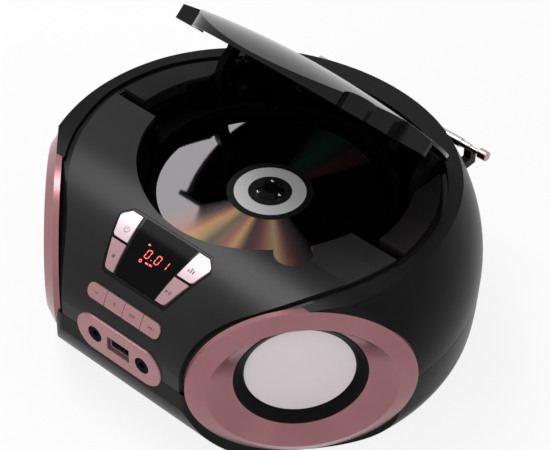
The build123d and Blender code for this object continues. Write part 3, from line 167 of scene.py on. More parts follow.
class Effects:
    """Shader node groups that more than one finish uses, each built once."""

    BROAD_SCALE = 35.0
    FLAT_LIMIT = 0.52
    ALONG_LINES = 0.03
    built: ClassVar[dict[str, bpy.types.NodeTree]] = {}

    @classmethod
    def start(cls, name: str, inputs: dict[str, float], outputs: tuple[str, ...]) -> Graph:
        """Make an empty group whose sockets are all numbers.

        Args:
            name: name of the group.
            inputs: inputs with their starting values.
            outputs: names of the outputs.

        Returns:
            The group's graph, with its input and output nodes in place.
        """
        tree = bpy.data.node_groups.new(name, "ShaderNodeTree")
        cls.built[name] = tree
        for label, value in inputs.items():
            socket = tree.interface.new_socket(name=label, in_out="INPUT", socket_type="NodeSocketFloat")
            socket.default_value = value
        for label in outputs:
            tree.interface.new_socket(name=label, in_out="OUTPUT", socket_type="NodeSocketFloat")
        tree.nodes.new("NodeGroupInput")
        tree.nodes.new("NodeGroupOutput")
        return Graph(tree)

    @classmethod
    def moulded_grain(cls) -> bpy.types.NodeTree:
        """Fine spark-eroded grain of a moulded surface.

        Returns:
            Group with the input Scale, and outputs Height and Mask.
        """
        if "moulded_grain" not in cls.built:
            graph = cls.start("moulded_grain", {"Scale": 1800.0}, ("Height", "Mask"))
            scale = graph.tree.nodes["Group Input"].outputs["Scale"]
            place = graph.place()
            graph.set(graph.tree.nodes["Group Output"], {
                "Height": graph.noise(place, scale, 3.0), "Mask": graph.noise(place, cls.BROAD_SCALE, 2.0)})
        return cls.built["moulded_grain"]

    @classmethod
    def edge_wear_and_highlight(cls) -> bpy.types.NodeTree:
        """Edges polished a little by handling, and lit edges given as a painted highlight.

        Returns:
            Group with the input Sharpness, and the output Edge.
        """
        if "edge_wear_and_highlight" not in cls.built:
            graph = cls.start("edge_wear_and_highlight", {"Sharpness": 6.0}, ("Edge",))
            sharpness = graph.tree.nodes["Group Input"].outputs["Sharpness"]
            shape = graph.node("ShaderNodeNewGeometry")
            # Mask of edges, which the finishes lighten for wear and as a painted highlight along them.
            above = graph.math("SUBTRACT", shape.outputs["Pointiness"], cls.FLAT_LIMIT)
            edge = graph.math("MULTIPLY", above, sharpness, clamp=True)
            graph.set(graph.tree.nodes["Group Output"], {"Edge": edge})
        return cls.built["edge_wear_and_highlight"]

    @classmethod
    def drawn_lines(cls) -> bpy.types.NodeTree:
        """Fine lines that drawing or turning leaves along X on metal.

        Returns:
            Group with the input Scale, and the output Height.
        """
        if "drawn_lines" not in cls.built:
            graph = cls.start("drawn_lines", {"Scale": 900.0}, ("Height",))
            scale = graph.tree.nodes["Group Input"].outputs["Scale"]
            squeezed = graph.node("ShaderNodeVectorMath", {0: graph.place(), 1: (cls.ALONG_LINES, 1.0, 1.0)},
                                  operation="MULTIPLY")
            lines = graph.noise(squeezed.outputs[0], scale, 2.0)
            graph.set(graph.tree.nodes["Group Output"], {"Height": lines})
        return cls.built["drawn_lines"]


# Finishes


def blank_material(name: str) -> tuple[bpy.types.Material, bpy.types.Node]:
    """Make a material that holds only a Principled shader.

    Args:
        name: name of the material.

    Returns:
        The material and its shader node.
    """
    material = bpy.data.materials.new(name)
    material.use_nodes = True
    return material, material.node_tree.nodes["Principled BSDF"]


def grey(level: float) -> Colour:
    """Return a neutral colour."""
    return (level, level, level)


@dataclass(frozen=True)
class Finish:
    """A finish, whose material is built once and then shared.

    The materials are kept here and not looked up by name, because a CAD material may have the same one.
    """

    name: str
    built: ClassVar[dict[str, bpy.types.Material]] = {}

    def make(self) -> bpy.types.Material:
        """Build the material, or return it if it is built already."""
        if self.name not in Finish.built:
            material, shader = blank_material(self.name)
            Finish.built[self.name] = material
            graph = Graph(material.node_tree)
            graph.set(shader, self.surface(graph))
        return Finish.built[self.name]

    def surface(self, graph: Graph) -> Inputs:
        """Add this finish's own nodes, and return what feeds the Principled shader."""
        raise NotImplementedError


@dataclass(frozen=True)
class Moulded(Finish):
    """Moulded or painted surface: colour that varies a little, fine grain, edges lighter for wear and as a
    painted highlight.
    """

    colour: Colour
    shade: Colour
    roughness: float = 0.4
    spread: float = 0.06
    grain_scale: float = 1800.0
    grain_height: float = 0.05
    metallic: float = 0.0
    coat: float = 0.0
    coat_roughness: float = 0.1
    specular: float = 0.5
    # Edge colour, and the share of it that the edges take: wear, and a painted highlight along them.
    edge: Colour = (0.3, 0.3, 0.3)
    wear_and_highlight: float = 0.15

    def surface(self, graph: Graph) -> Inputs:
        """Mottle the colour, lighten its edges for wear and as a painted highlight, and grain the surface."""
        grain = graph.effect(Effects.moulded_grain(), Scale=self.grain_scale)
        worn_and_lit = graph.effect(Effects.edge_wear_and_highlight()).outputs["Edge"]
        mask = grain.outputs["Mask"]
        mottled = graph.tone(mask, [(0.3, self.shade), (0.7, self.colour)])
        # The edges are mixed towards the edge colour: wear, and a painted highlight along them.
        return {
            "Metallic": self.metallic, "Coat Weight": self.coat, "Coat Roughness": self.coat_roughness,
            "Specular IOR Level": self.specular,
            "Base Color": graph.mix(graph.math("MULTIPLY", worn_and_lit, self.wear_and_highlight), mottled, (*self.edge, 1.0)),
            "Roughness": graph.span(mask, self.roughness - self.spread, self.roughness + self.spread),
            "Normal": graph.bump(grain.outputs["Height"], self.grain_height, 0.2 * MM)}


@dataclass(frozen=True)
class Metal(Finish):
    """Bare or plated metal with the fine lines of its making."""

    colour: Colour
    roughness: float = 0.2
    line_scale: float = 900.0
    line_height: float = 0.03

    def surface(self, graph: Graph) -> Inputs:
        """Darken, roughen and cut the metal along its lines."""
        lines = graph.effect(Effects.drawn_lines(), Scale=self.line_scale).outputs["Height"]
        darker = tuple(0.82 * part for part in self.colour)
        return {"Metallic": 1.0, "Base Color": graph.tone(lines, [(0.2, darker), (0.8, self.colour)]),
                "Roughness": graph.span(lines, self.roughness * 0.8, self.roughness * 1.25),
                "Normal": graph.bump(lines, self.line_height, 0.2 * MM)}


@dataclass(frozen=True)
class DiscMirror(Finish):
    """Playing side of the disc: a mirror with painted rainbow reflections in fans, and the plain rings round
    the hub.
    """

    name: str = "disc_mirror_painted_rainbow"
    hub_radius: float = 11.5 * MM
    frosted_radius: float = 19.0 * MM
    dark_radius: float = 23.0 * MM
    track_scale: float = 400.0

    def surface(self, graph: Graph) -> Inputs:
        """Colour the disc by the turn round its axis and the distance from it."""
        shift = (0.0, -DISC_AXIS_Y, -DISC_TOP)
        centred = graph.node("ShaderNodeMapping", {"Vector": graph.place(), "Location": shift})
        middle = centred.outputs["Vector"]
        parts = graph.node("ShaderNodeSeparateXYZ", {"Vector": middle}).outputs
        turn = graph.span(graph.math("ARCTAN2", parts["Y"], parts["X"]), 0.0, 1.0, -math.pi, math.pi)
        plane = graph.node("ShaderNodeCombineXYZ", {"X": parts["X"], "Y": parts["Y"]})
        away = graph.node("ShaderNodeVectorMath", {0: plane.outputs[0]}, operation="LENGTH").outputs["Value"]
        playing = graph.math("GREATER_THAN", away, self.dark_radius)
        # Painted reflection: the rainbow fans are laid into the colour and taken out of the mirror, by the
        # turn round the axis.
        painted_rainbow_scattering = graph.math("MULTIPLY", graph.tone(turn, self.painted_rainbow_scatter_stops()), playing)
        mirror = graph.math("SUBTRACT", playing, painted_rainbow_scattering)
        rings = graph.tone(graph.span(away, 0.0, 1.0, 0.0, DISC_RADIUS), self.ring_stops(), "CONSTANT")
        tracks = graph.node("ShaderNodeTexWave", {"Vector": middle, "Scale": self.track_scale},
                            wave_type="RINGS", rings_direction="Z")
        painted_rainbow = graph.tone(turn, self.painted_rainbow_stops())
        return {"Metallic": mirror, "Base Color": graph.mix(playing, rings, painted_rainbow),
                "Roughness": graph.span(mirror, 0.32, 0.04),
                "Normal": graph.bump(tracks.outputs["Fac"], 0.01, 0.1 * MM)}

    def ring_stops(self) -> list[tuple[float, Colour]]:
        """Colours from the hole outwards: clear plastic, frosted ring, dark ring."""
        hub, frosted = self.hub_radius / DISC_RADIUS, self.frosted_radius / DISC_RADIUS
        return [(0.0, (0.012, 0.012, 0.013)), (hub, (0.62, 0.61, 0.62)), (frosted, grey(0.008))]

    @staticmethod
    def painted_rainbow_stops() -> list[tuple[float, Colour]]:
        """Painted rainbow reflection colours round the disc, from the left through the front to the right and
        back.
        """
        plain = (0.34, 0.32, 0.34)
        return [(0.0, plain), (0.165, plain), (0.195, (0.42, 0.31, 0.30)), (0.215, (0.52, 0.27, 0.21)),
                (0.229, (0.66, 0.34, 0.17)), (0.246, (0.60, 0.45, 0.24)), (0.268, (0.40, 0.34, 0.26)),
                (0.286, (0.52, 0.22, 0.19)), (0.302, (0.62, 0.38, 0.17)), (0.320, (0.34, 0.22, 0.20)),
                (0.341, (0.42, 0.20, 0.25)), (0.358, (0.56, 0.30, 0.18)), (0.376, (0.58, 0.42, 0.24)),
                (0.396, (0.40, 0.18, 0.17)), (0.43, plain), (0.68, plain), (0.700, (0.34, 0.05, 0.08)),
                (0.725, plain), (0.764, (0.05, 0.28, 0.17)), (0.80, plain), (1.0, plain)]

    @staticmethod
    def painted_rainbow_scatter_stops() -> list[tuple[float, Colour]]:
        """How much of the light the painted rainbow fans scatter instead of mirroring, round the disc."""
        levels = ((0.0, 0.0), (0.165, 0.0), (0.200, 0.25), (0.229, 0.75), (0.262, 0.35), (0.302, 0.75),
                  (0.322, 0.22), (0.345, 0.30), (0.376, 0.60), (0.405, 0.15), (0.44, 0.0), (0.68, 0.0),
                  (0.700, 0.10), (0.728, 0.03), (0.764, 0.09), (0.80, 0.0), (1.0, 0.0))
        return [(place, grey(level)) for place, level in levels]


@dataclass(frozen=True)
class Lit(Finish):
    """Glowing marks of the display."""

    name: str = "lit_red"
    colour: Colour = (1.0, 0.03, 0.04)
    hot: Colour = (1.0, 0.22, 0.16)
    strength: float = 1.3
    cloud_scale: float = 1500.0

    def surface(self, graph: Graph) -> Inputs:
        """Glow unevenly between two reds."""
        clouds = graph.noise(graph.place(), self.cloud_scale, 2.0)
        glow = graph.tone(clouds, [(0.3, self.colour), (0.7, self.hot)])
        return {"Emission Color": glow, "Emission Strength": self.strength, "Base Color": glow,
                "Roughness": 0.5}


@dataclass(frozen=True)
class Circuit(Finish):
    """Green board with copper lines under its lacquer."""

    name: str = "circuit_green"
    line_scale: float = 180.0

    def surface(self, graph: Graph) -> Inputs:
        """Lay lighter lines in a green ground."""
        lines = graph.node("ShaderNodeTexBrick", {
            "Vector": graph.place(), "Scale": self.line_scale, "Mortar Size": 0.03,
            "Color1": (0.012, 0.12, 0.04, 1.0), "Color2": (0.016, 0.15, 0.05, 1.0),
            "Mortar": (0.04, 0.26, 0.09, 1.0)})
        return {"Base Color": lines.outputs["Color"], "Roughness": 0.35,
                "Normal": graph.bump(lines.outputs["Fac"], 0.2, 0.1 * MM)}


@dataclass(frozen=True)
class Cells(Finish):
    """Jacket of a dry cell: dark body with a lighter band."""

    name: str = "cell_jacket"
    band_scale: float = 6.0

    def surface(self, graph: Graph) -> Inputs:
        """Band the jacket along X."""
        band = graph.node("ShaderNodeTexWave", {"Vector": graph.place(), "Scale": self.band_scale},
                          bands_direction="X").outputs["Fac"]
        return {"Base Color": graph.tone(band, [(0.60, (0.03, 0.03, 0.04)), (0.66, (0.45, 0.30, 0.12))]),
                "Metallic": 0.5, "Roughness": 0.35}


# Each edge colour below lightens the edges for wear and as a painted highlight line, most on the ledge, rings
# and keys.
SHELL_SATIN = Moulded(
    "shell_satin_black", (0.0060, 0.0056, 0.0058), (0.0045, 0.0042, 0.0044), roughness=0.30, spread=0.03,
    grain_scale=2200.0, grain_height=0.04, specular=0.05, edge=grey(0.03))
DECK_SATIN = Moulded(
    "deck_satin_grey", grey(0.0105), grey(0.0080), roughness=0.32, spread=0.03,
    grain_scale=2600.0, grain_height=0.06, specular=0.14, edge=grey(0.09), wear_and_highlight=0.04)
LEDGE_SATIN = Moulded(
    "ledge_satin_black", (0.0065, 0.0055, 0.0058), (0.0050, 0.0042, 0.0045), roughness=0.26, spread=0.03,
    grain_scale=2200.0, grain_height=0.04, specular=0.05, edge=(0.16, 0.15, 0.15), wear_and_highlight=0.06)
GLOSS_BLACK = Moulded(
    "trim_gloss_black", (0.0040, 0.0038, 0.0038), (0.0030, 0.0028, 0.0028), roughness=0.10, spread=0.02,
    grain_scale=400.0, grain_height=0.005, specular=0.07, edge=grey(0.05))
WINDOW_BLACK = Moulded(
    "window_black", (0.0022, 0.0022, 0.0023), (0.0016, 0.0016, 0.0017), roughness=0.14, spread=0.02,
    grain_scale=400.0, grain_height=0.004, specular=0.02, edge=grey(0.02))
LID_GLOSS = Moulded(
    "lid_gloss_black", (0.0045, 0.0043, 0.0043), (0.0035, 0.0033, 0.0033), roughness=0.13, spread=0.02,
    grain_scale=900.0, grain_height=0.008, coat=0.08, coat_roughness=0.06, specular=0.10,
    edge=grey(0.10), wear_and_highlight=0.03)
INNER_BLACK = Moulded(
    "well_matt_black", (0.0016, 0.0016, 0.0017), (0.0010, 0.0010, 0.0011), roughness=0.42, spread=0.05,
    grain_scale=1500.0, grain_height=0.05, specular=0.02, edge=grey(0.012))
ROSE_RING = Moulded(
    "rose_metallic_satin", (0.295, 0.132, 0.146), (0.270, 0.119, 0.132), roughness=0.22, spread=0.02,
    grain_scale=5200.0, grain_height=0.05, metallic=0.5, specular=0.15, edge=(0.80, 0.52, 0.50), wear_and_highlight=0.06)
ROSE_KEY = Moulded(
    "rose_metallic_key", (0.365, 0.182, 0.195), (0.335, 0.166, 0.178), roughness=0.32, spread=0.02,
    grain_scale=5200.0, grain_height=0.04, metallic=0.5, specular=0.15, edge=(0.85, 0.62, 0.62), wear_and_highlight=0.06)
ROSE_MIDDLE = Moulded(
    "rose_metallic_middle", (0.375, 0.215, 0.245), (0.340, 0.194, 0.222), roughness=0.33, spread=0.02,
    grain_scale=5200.0, grain_height=0.04, metallic=0.5, specular=0.15, edge=(0.90, 0.70, 0.72), wear_and_highlight=0.06)
ROSE_PALE = Moulded(
    "rose_metallic_pale", (0.55, 0.425, 0.475), (0.510, 0.394, 0.440), roughness=0.36, spread=0.02,
    grain_scale=5200.0, grain_height=0.04, metallic=0.4, specular=0.2, edge=(0.98, 0.85, 0.86), wear_and_highlight=0.10)
RUBBER = Moulded(
    "rubber_soft_black", grey(0.0022), grey(0.0014), roughness=0.38, spread=0.05,
    grain_scale=1300.0, grain_height=0.08, specular=0.06, edge=grey(0.02))
CONE_PAPER = Moulded(
    "cone_pressed_paper", (0.66, 0.61, 0.63), (0.64, 0.59, 0.61), roughness=0.6, spread=0.05,
    grain_scale=3000.0, grain_height=0.06, specular=0.2, edge=grey(0.7), wear_and_highlight=0.05)
WHITE_PLASTIC = Moulded(
    "gear_white", (0.72, 0.71, 0.69), (0.66, 0.65, 0.63), roughness=0.35, spread=0.04,
    grain_scale=1800.0, grain_height=0.03)
MAGNET = Moulded(
    "magnet_ferrite", (0.07, 0.07, 0.075), (0.05, 0.05, 0.055), roughness=0.6, spread=0.08,
    grain_scale=700.0, grain_height=0.2)
PRINTED = Moulded(
    "printed_marks", (0.060, 0.030, 0.035), (0.050, 0.025, 0.030), roughness=0.5, spread=0.03,
    grain_scale=1500.0, grain_height=0.02)
STEEL = Metal("steel_drawn", (0.56, 0.57, 0.58), roughness=0.26)
CHROME = Metal("chrome_plate", (0.52, 0.51, 0.52), roughness=0.12, line_scale=600.0, line_height=0.01)
ROSE_METAL = Metal("rose_plate", (0.50, 0.31, 0.33), roughness=0.20, line_scale=600.0, line_height=0.01)
BRASS = Metal("brass_plain", (0.70, 0.52, 0.22), roughness=0.28)
LAMINATED = Metal("laminated_iron", (0.24, 0.24, 0.26), roughness=0.45, line_scale=3000.0, line_height=0.3)
DISC = DiscMirror()
LIT_RED = Lit()
CIRCUIT = Circuit()
CELL = Cells()


# Pieces


def dress(finish: Finish, *nodes: str) -> None:
    """Give CAD nodes a finish.

    Args:
        finish: one of the finishes above.
        nodes: names of the CAD nodes.
    """
    material = finish.make()
    for name in nodes:
        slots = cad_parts[name].data.materials
        slots.clear()
        slots.append(material)
    LOG.info("dressed %s with %s", ", ".join(nodes), material.name)


def add_piece(name: str, mesh: bpy.types.Mesh, body: str) -> bpy.types.Object:
    """Put a finished mesh in the scene as a piece.

    Args:
        name: name of the piece.
        mesh: its mesh, with its material.
        body: body it rides on.

    Returns:
        The piece.
    """
    piece = bpy.data.objects.new(name, mesh)
    bpy.context.scene.collection.objects.link(piece)
    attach(piece, body)
    return piece


@dataclass(frozen=True)
class Slope:
    """A sloping plane across the front, in millimetres: where it is and how far it leans back."""

    y: float
    z: float
    tilt: float

    def origin(self) -> Vector:
        """Return the plane's middle in the scene, in metres."""
        return Vector((0.0, self.y * MM + DISC_AXIS_Y, self.z * MM))

    def up(self) -> Vector:
        """Return the plane's own upward direction."""
        turn = math.radians(self.tilt)
        return Vector((0.0, math.cos(turn), math.sin(turn)))

    def out(self) -> Vector:
        """Return the plane's outward direction."""
        turn = math.radians(self.tilt)
        return Vector((0.0, -math.sin(turn), math.cos(turn)))

    def at(self, x: float, y: float, rise: float = 0.0) -> Vector:
        """Return the place of a point given in the plane's own millimetres."""
        return self.origin() + Vector((x * MM, 0.0, 0.0)) + self.up() * (y * MM) + self.out() * (rise * MM)


CLUSTER = Slope(-89.9, 93.5, 33.0)
KEY_ROW = Slope(-109.6, 73.2, 64.5)


class Marks:
    """Flat shapes in a plane's own millimetres, which are laid on a node's surface as thin solid marks."""

    DROP_FROM = 12.0
    REACH = 30.0 * MM
    ARC_STEPS = 18

    def __init__(self, slope: Slope, node: str) -> None:
        """Keep the plane, and the surface of the node that carries the marks."""
        self.slope = slope
        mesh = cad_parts[node].data
        self.surface = BVHTree.FromPolygons([v.co.copy() for v in mesh.vertices],
                                            [tuple(p.vertices) for p in mesh.polygons])
        self.shapes: list[list[Point]] = []

    def add(self, *points: Point) -> None:
        """Add one shape, given as corners in order."""
        self.shapes.append(list(points))

    def box(self, x: float, y: float, width: float, height: float) -> None:
        """Add an upright rectangle about a middle."""
        w, h = width / 2, height / 2
        self.add((x - w, y - h), (x + w, y - h), (x + w, y + h), (x - w, y + h))

    def arc(self, middle: Point, radius: float, line: float, start: float, end: float) -> None:
        """Add a ring or part of one, from start to end in degrees, as short four-cornered pieces."""

        def point(reach: float, turn: float) -> Point:
            """Return the point at a distance and turn from the middle."""
            return (middle[0] + reach * math.cos(turn), middle[1] + reach * math.sin(turn))

        step = (end - start) / self.ARC_STEPS
        turns = [math.radians(start + step * k) for k in range(self.ARC_STEPS + 1)]
        inner, outer = radius - line / 2, radius + line / 2
        for a, b in zip(turns, turns[1:]):
            self.add(point(inner, a), point(outer, a), point(outer, b), point(inner, b))

    def triangle(self, x: float, y: float, width: float, height: float) -> None:
        """Add a triangle that points right, or left where the width is negative."""
        self.add((x - width / 2, y - height / 2), (x + width / 2, y), (x - width / 2, y + height / 2))

    def landed(self, x: float, y: float, lift: float) -> Vector:
        """Return where a point of the plane comes down on the surface, lifted by some millimetres."""
        start = self.slope.at(x, y, self.DROP_FROM)
        hit = self.surface.ray_cast(start, -self.slope.out(), self.REACH)[0]
        base = hit if hit is not None else self.slope.at(x, y)
        return base + self.slope.out() * (lift * MM)

    def make(self, name: str, body: Body, finish: Finish, lift: float = 0.06, depth: float = 0.1
             ) -> bpy.types.Object:
        """Make all the shapes one piece.

        Args:
            name: name of the piece.
            body: body it rides on.
            finish: its finish.
            lift: how far it stands proud, in millimetres.
            depth: how far it goes in, in millimetres.

        Returns:
            The piece.
        """
        mesh = bpy.data.meshes.new(name)
        form = bmesh.new()
        for shape in self.shapes:
            top = [form.verts.new(self.landed(x, y, lift)) for x, y in shape]
            low = [form.verts.new(self.landed(x, y, -depth)) for x, y in shape]
            form.faces.new(top)
            form.faces.new(list(reversed(low)))
            for k in range(len(shape)):
                n = (k + 1) % len(shape)
                form.faces.new((top[k], low[k], low[n], top[n]))
        bmesh.ops.recalc_face_normals(form, faces=form.faces)
        form.to_mesh(mesh)
        form.free()
        mesh.materials.append(finish.make())
        return add_piece(name, mesh, body.value)


# Repeats by Geometry Nodes


class Repeats:
    """Pieces made of many equal parts, each built by a Geometry Nodes tree with named inputs."""

    SIDES = 12

    @classmethod
    def row_of_bars(cls) -> bpy.types.NodeTree:
        """Tree for a row of round-ended bars, each lying along X.

        Returns:
            Tree with inputs Count, Step, Start, Length, Radius and Finish.
        """
        made = bpy.data.node_groups.new("row_of_bars", "GeometryNodeTree")
        made.interface.new_socket(name="Geometry", in_out="OUTPUT", socket_type="NodeSocketGeometry")
        for label, kind in (("Count", "Int"), ("Step", "Vector"), ("Start", "Vector"), ("Length", "Float"),
                            ("Radius", "Float"), ("Finish", "Material")):
            made.interface.new_socket(name=label, in_out="INPUT", socket_type="NodeSocket" + kind)
        graph = Graph(made)
        given = graph.node("NodeGroupInput").outputs
        places = graph.node("GeometryNodeMeshLine", {
            "Count": given["Count"], "Start Location": given["Start"], "Offset": given["Step"]})
        bar = graph.node("GeometryNodeMeshCylinder", {
            "Vertices": cls.SIDES, "Depth": given["Length"], "Radius": given["Radius"]})
        lying = graph.node("GeometryNodeTransform", {
            "Geometry": bar.outputs["Mesh"], "Rotation": (0.0, math.pi / 2, 0.0)})
        ball = graph.node("GeometryNodeMeshUVSphere", {
            "Segments": cls.SIDES, "Rings": cls.SIDES // 2, "Radius": given["Radius"]})
        left = graph.along_x(graph.math("MULTIPLY", given["Length"], -0.5))
        ends = graph.node("GeometryNodeMeshLine", {
            "Count": 2, "Start Location": left, "Offset": graph.along_x(given["Length"])})
        caps = graph.node("GeometryNodeInstanceOnPoints", {
            "Points": ends.outputs["Mesh"], "Instance": ball.outputs["Mesh"]})
        whole = graph.node("GeometryNodeJoinGeometry", {
            "Geometry": [lying.outputs["Geometry"], caps.outputs["Instances"]]})
        row = graph.node("GeometryNodeInstanceOnPoints", {
            "Points": places.outputs["Mesh"], "Instance": whole.outputs["Geometry"]})
        real = graph.node("GeometryNodeRealizeInstances", {"Geometry": row.outputs["Instances"]})
        painted = graph.node("GeometryNodeSetMaterial", {
            "Geometry": real.outputs["Geometry"], "Material": given["Finish"]})
        graph.node("NodeGroupOutput", {"Geometry": painted.outputs["Geometry"]})
        return made

    @staticmethod
    def make(name: str, tree: bpy.types.NodeTree, values: dict[str, object], body: Body) -> bpy.types.Object:
        """Run a tree with its inputs set, and keep the result as a plain mesh.

        Args:
            name: name of the piece.
            tree: the geometry tree.
            values: input values by the inputs' names.
            body: body the piece rides on.

        Returns:
            The piece.
        """
        holder = bpy.data.objects.new(name + "_holder", bpy.data.meshes.new(name + "_holder"))
        bpy.context.scene.collection.objects.link(holder)
        modifier = holder.modifiers.new("repeat", "NODES")
        modifier.node_group = tree
        for item in tree.interface.items_tree:
            if item.item_type == "SOCKET" and item.in_out == "INPUT" and item.name in values:
                modifier[item.identifier] = values[item.name]
        bpy.context.view_layer.update()
        depsgraph = bpy.context.evaluated_depsgraph_get()
        mesh = bpy.data.meshes.new_from_object(holder.evaluated_get(depsgraph), depsgraph=depsgraph)
        holder.modifiers.remove(modifier)
        bpy.data.objects.remove(holder)
        mesh.name = name
        return add_piece(name, mesh, body.value)


# Sub-assemblies


class Assembly:
    """A sub-assembly: its CAD nodes by their finish, and the new pieces that it adds."""

    finishes: ClassVar[tuple[tuple[Finish, tuple[str, ...]], ...]] = ()

    def build(self) -> None:
        """Dress the CAD nodes, then add the new pieces."""
        for finish, nodes in self.finishes:
            dress(finish, *nodes)
        self.add_pieces()

    def add_pieces(self) -> None:
        """Add the new pieces, where a sub-assembly has any."""


@dataclass
class Case(Assembly):
    """The two shells, deck, groove strip, well and underside."""

    rib_count: int = 5
    rib_step: float = 2.6 * MM
    rib_length: float = 44.0 * MM
    rib_radius: float = 0.45 * MM
    rib_inset: float = 20.0 * MM
    finishes: ClassVar = (
        (SHELL_SATIN, ("lower_shell", "upper_shell", "battery_cover")), (GLOSS_BLACK, ("groove_trim",)),
        (DECK_SATIN, ("deck",)), (LEDGE_SATIN, ("lid_ledge",)), (INNER_BLACK, ("disc_well",)),
        (RUBBER, ("rubber_feet",)), (STEEL, ("case_screws",)))

    def add_pieces(self) -> None:
        """Add the ribs that a thumb pushes on to slide the battery cover."""
        low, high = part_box("battery_cover")
        start = ((low.x + high.x) / 2, high.y - self.rib_inset, low.z)
        values = {"Count": self.rib_count, "Step": (0.0, self.rib_step, 0.0), "Start": start,
                  "Length": self.rib_length, "Radius": self.rib_radius, "Finish": SHELL_SATIN.make()}
        piece = Repeats.make("battery_cover_ribs", Repeats.row_of_bars(), values, Body.COVER)


class DiscDrive(Assembly):
    """Disc, hub, motor and pickup."""

    finishes = ((DISC, ("disc",)), (GLOSS_BLACK, ("turntable", "pickup_lens")),
                (CHROME, ("hub_balls", "motor_shaft", "sled_rods")), (STEEL, ("spindle_motor",)),
                (INNER_BLACK, ("pickup_sled",)))


class Lid(Assembly):
    """Lid, liner, arms and damper."""

    finishes = ((LID_GLOSS, ("lid",)),
                (INNER_BLACK, ("lid_liner", "hinge_arm_left", "hinge_arm_right", "damper_body")),
                (STEEL, ("hinge_pins",)), (WHITE_PLASTIC, ("damper_gear",)))


@dataclass
class Display(Assembly):
    """Dark window with its lit figures, in the window's own millimetres."""

    digit_width: float = 2.5
    digit_height: float = 4.6
    line: float = 0.45
    gap: float = 0.32
    base: float = -0.1
    slant: float = 0.08
    figures: tuple[Point, ...] = ((-3.9, 0), (2.8, 0), (8.0, 1))
    segments: ClassVar[dict[int, str]] = {0: "abcdef", 1: "bc"}
    finishes: ClassVar = (
        (GLOSS_BLACK, ("cluster_bezel",)), (WINDOW_BLACK, ("display_window",)),
        (CIRCUIT, ("display_module",)))

    def add_pieces(self) -> None:
        """Lay the figures and small marks on the window."""
        marks = Marks(CLUSTER, "display_window")
        for x, number in self.figures:
            self.figure(marks, x, number)
        # Point after the first figure, two arrows above, a ring and two bars below
        marks.box(-0.55, 0.35, self.line, self.line)
        for x in (-6.9, -6.2):
            marks.triangle(x, 6.6, 0.9, 1.1)
        marks.arc((-5.7, -2.6), 0.7, 0.4, 0, 360)
        marks.box(-1.6, -2.2, 1.7, 0.8)
        marks.box(0.9, -2.0, 1.9, 0.8)
        marks.make("display_figures", Body.CASE, LIT_RED, 0.03, 0.08)

    def figure(self, marks: Marks, x: float, number: int) -> None:
        """Add one seven-part figure.

        Args:
            marks: the marks it joins.
            x: middle of the figure across the window.
            number: the number it shows.
        """
        w, h, t, g = self.digit_width / 2, self.digit_height / 2, self.line / 2, self.gap / 2
        bars = {
            "a": ((-w + g, h), (w - g, h)), "d": ((-w + g, -h), (w - g, -h)),
            "f": ((-w, g), (-w, h - g)), "b": ((w, g), (w, h - g)),
            "e": ((-w, -h + g), (-w, -g)), "c": ((w, -h + g), (w, -g))}
        for letter in self.segments[number]:
            (x0, y0), (x1, y1) = bars[letter]
            if y0 == y1:
                outline = ((x0, y0), (x0 + t, y0 - t), (x1 - t, y0 - t),
                           (x1, y0), (x1 - t, y0 + t), (x0 + t, y0 + t))
            else:
                outline = ((x0, y0), (x0 + t, y0 + t), (x0 + t, y1 - t),
                           (x0, y1), (x0 - t, y1 - t), (x0 - t, y0 + t))
            marks.add(*[(x + px + self.slant * py, self.base + h + py) for px, py in outline])


@dataclass
class Keys(Assembly):
    """Eight keys with plain symbols, in the keys' own millimetres."""

    row_step: float = 12.6
    power: Point = (-22.3, 6.9)
    tone: Point = (22.7, 5.6)
    radius: float = 1.5
    thin: float = 0.32
    line: float = 0.42
    finishes: ClassVar = (
        (ROSE_PALE, ("power_key", "mode_key")), (ROSE_MIDDLE, ("stop_key", "play_key")),
        (ROSE_KEY, ("volume_down_key", "volume_up_key", "previous_key", "next_key")))

    def add_pieces(self) -> None:
        """Lay a symbol on each key."""
        self.upper_symbols()
        self.row_symbols()

    def upper_symbols(self) -> None:
        """Power, tone, stop and play symbols beside the display."""
        x, y = self.power
        power = Marks(CLUSTER, "power_key")
        power.arc(self.power, self.radius, self.thin, 125, 415)
        power.box(x, y + self.radius * 0.75, self.thin, self.radius * 1.1)
        power.make("power_symbol", Body.POWER, PRINTED)
        x, y = self.tone
        tone = Marks(CLUSTER, "mode_key")
        for step, height in ((-1.5, 1.4), (0.0, 2.6), (1.5, 1.9)):
            tone.box(x + step, y + height / 2, 0.7, height)
        tone.make("tone_symbol", Body.MODE, PRINTED)
        stop = Marks(CLUSTER, "stop_key")
        stop.box(-19.6, -8.0, 1.7, 1.7)
        stop.make("stop_symbol", Body.STOP, PRINTED)
        play = Marks(CLUSTER, "play_key")
        play.triangle(18.0, -8.4, 1.7, 2.0)
        for x in (19.6, 20.5):
            play.box(x, -8.4, 0.45, 1.9)
        play.make("play_symbol", Body.PLAY, PRINTED)

    def row_symbols(self) -> None:
        """Minus, plus, back and forward symbols on the row of keys."""
        less = Marks(KEY_ROW, "volume_down_key")
        less.box(-1.5 * self.row_step, 0.0, 2.4, self.line)
        less.make("volume_down_symbol", Body.VOLUME_DOWN, PRINTED)
        more = Marks(KEY_ROW, "volume_up_key")
        x = -0.5 * self.row_step
        more.box(x, 0.0, 2.4, self.line)
        for y in (0.75, -0.75):
            more.box(x, y, self.line, 1.05)
        more.make("volume_up_symbol", Body.VOLUME_UP, PRINTED)
        for name, node, body, place, way in (("back_symbol", "previous_key", Body.PREVIOUS, 0.5, -1),
                                             ("forward_symbol", "next_key", Body.NEXT, 1.5, 1)):
            skip = Marks(KEY_ROW, node)
            middle = place * self.row_step
            for offset in (-0.85, 0.75):
                skip.triangle(middle + offset, 0.0, 1.5 * way, 1.7)
            skip.box(middle + 1.85 * way, 0.0, 0.35, 1.7)
            skip.make(name, body, PRINTED)


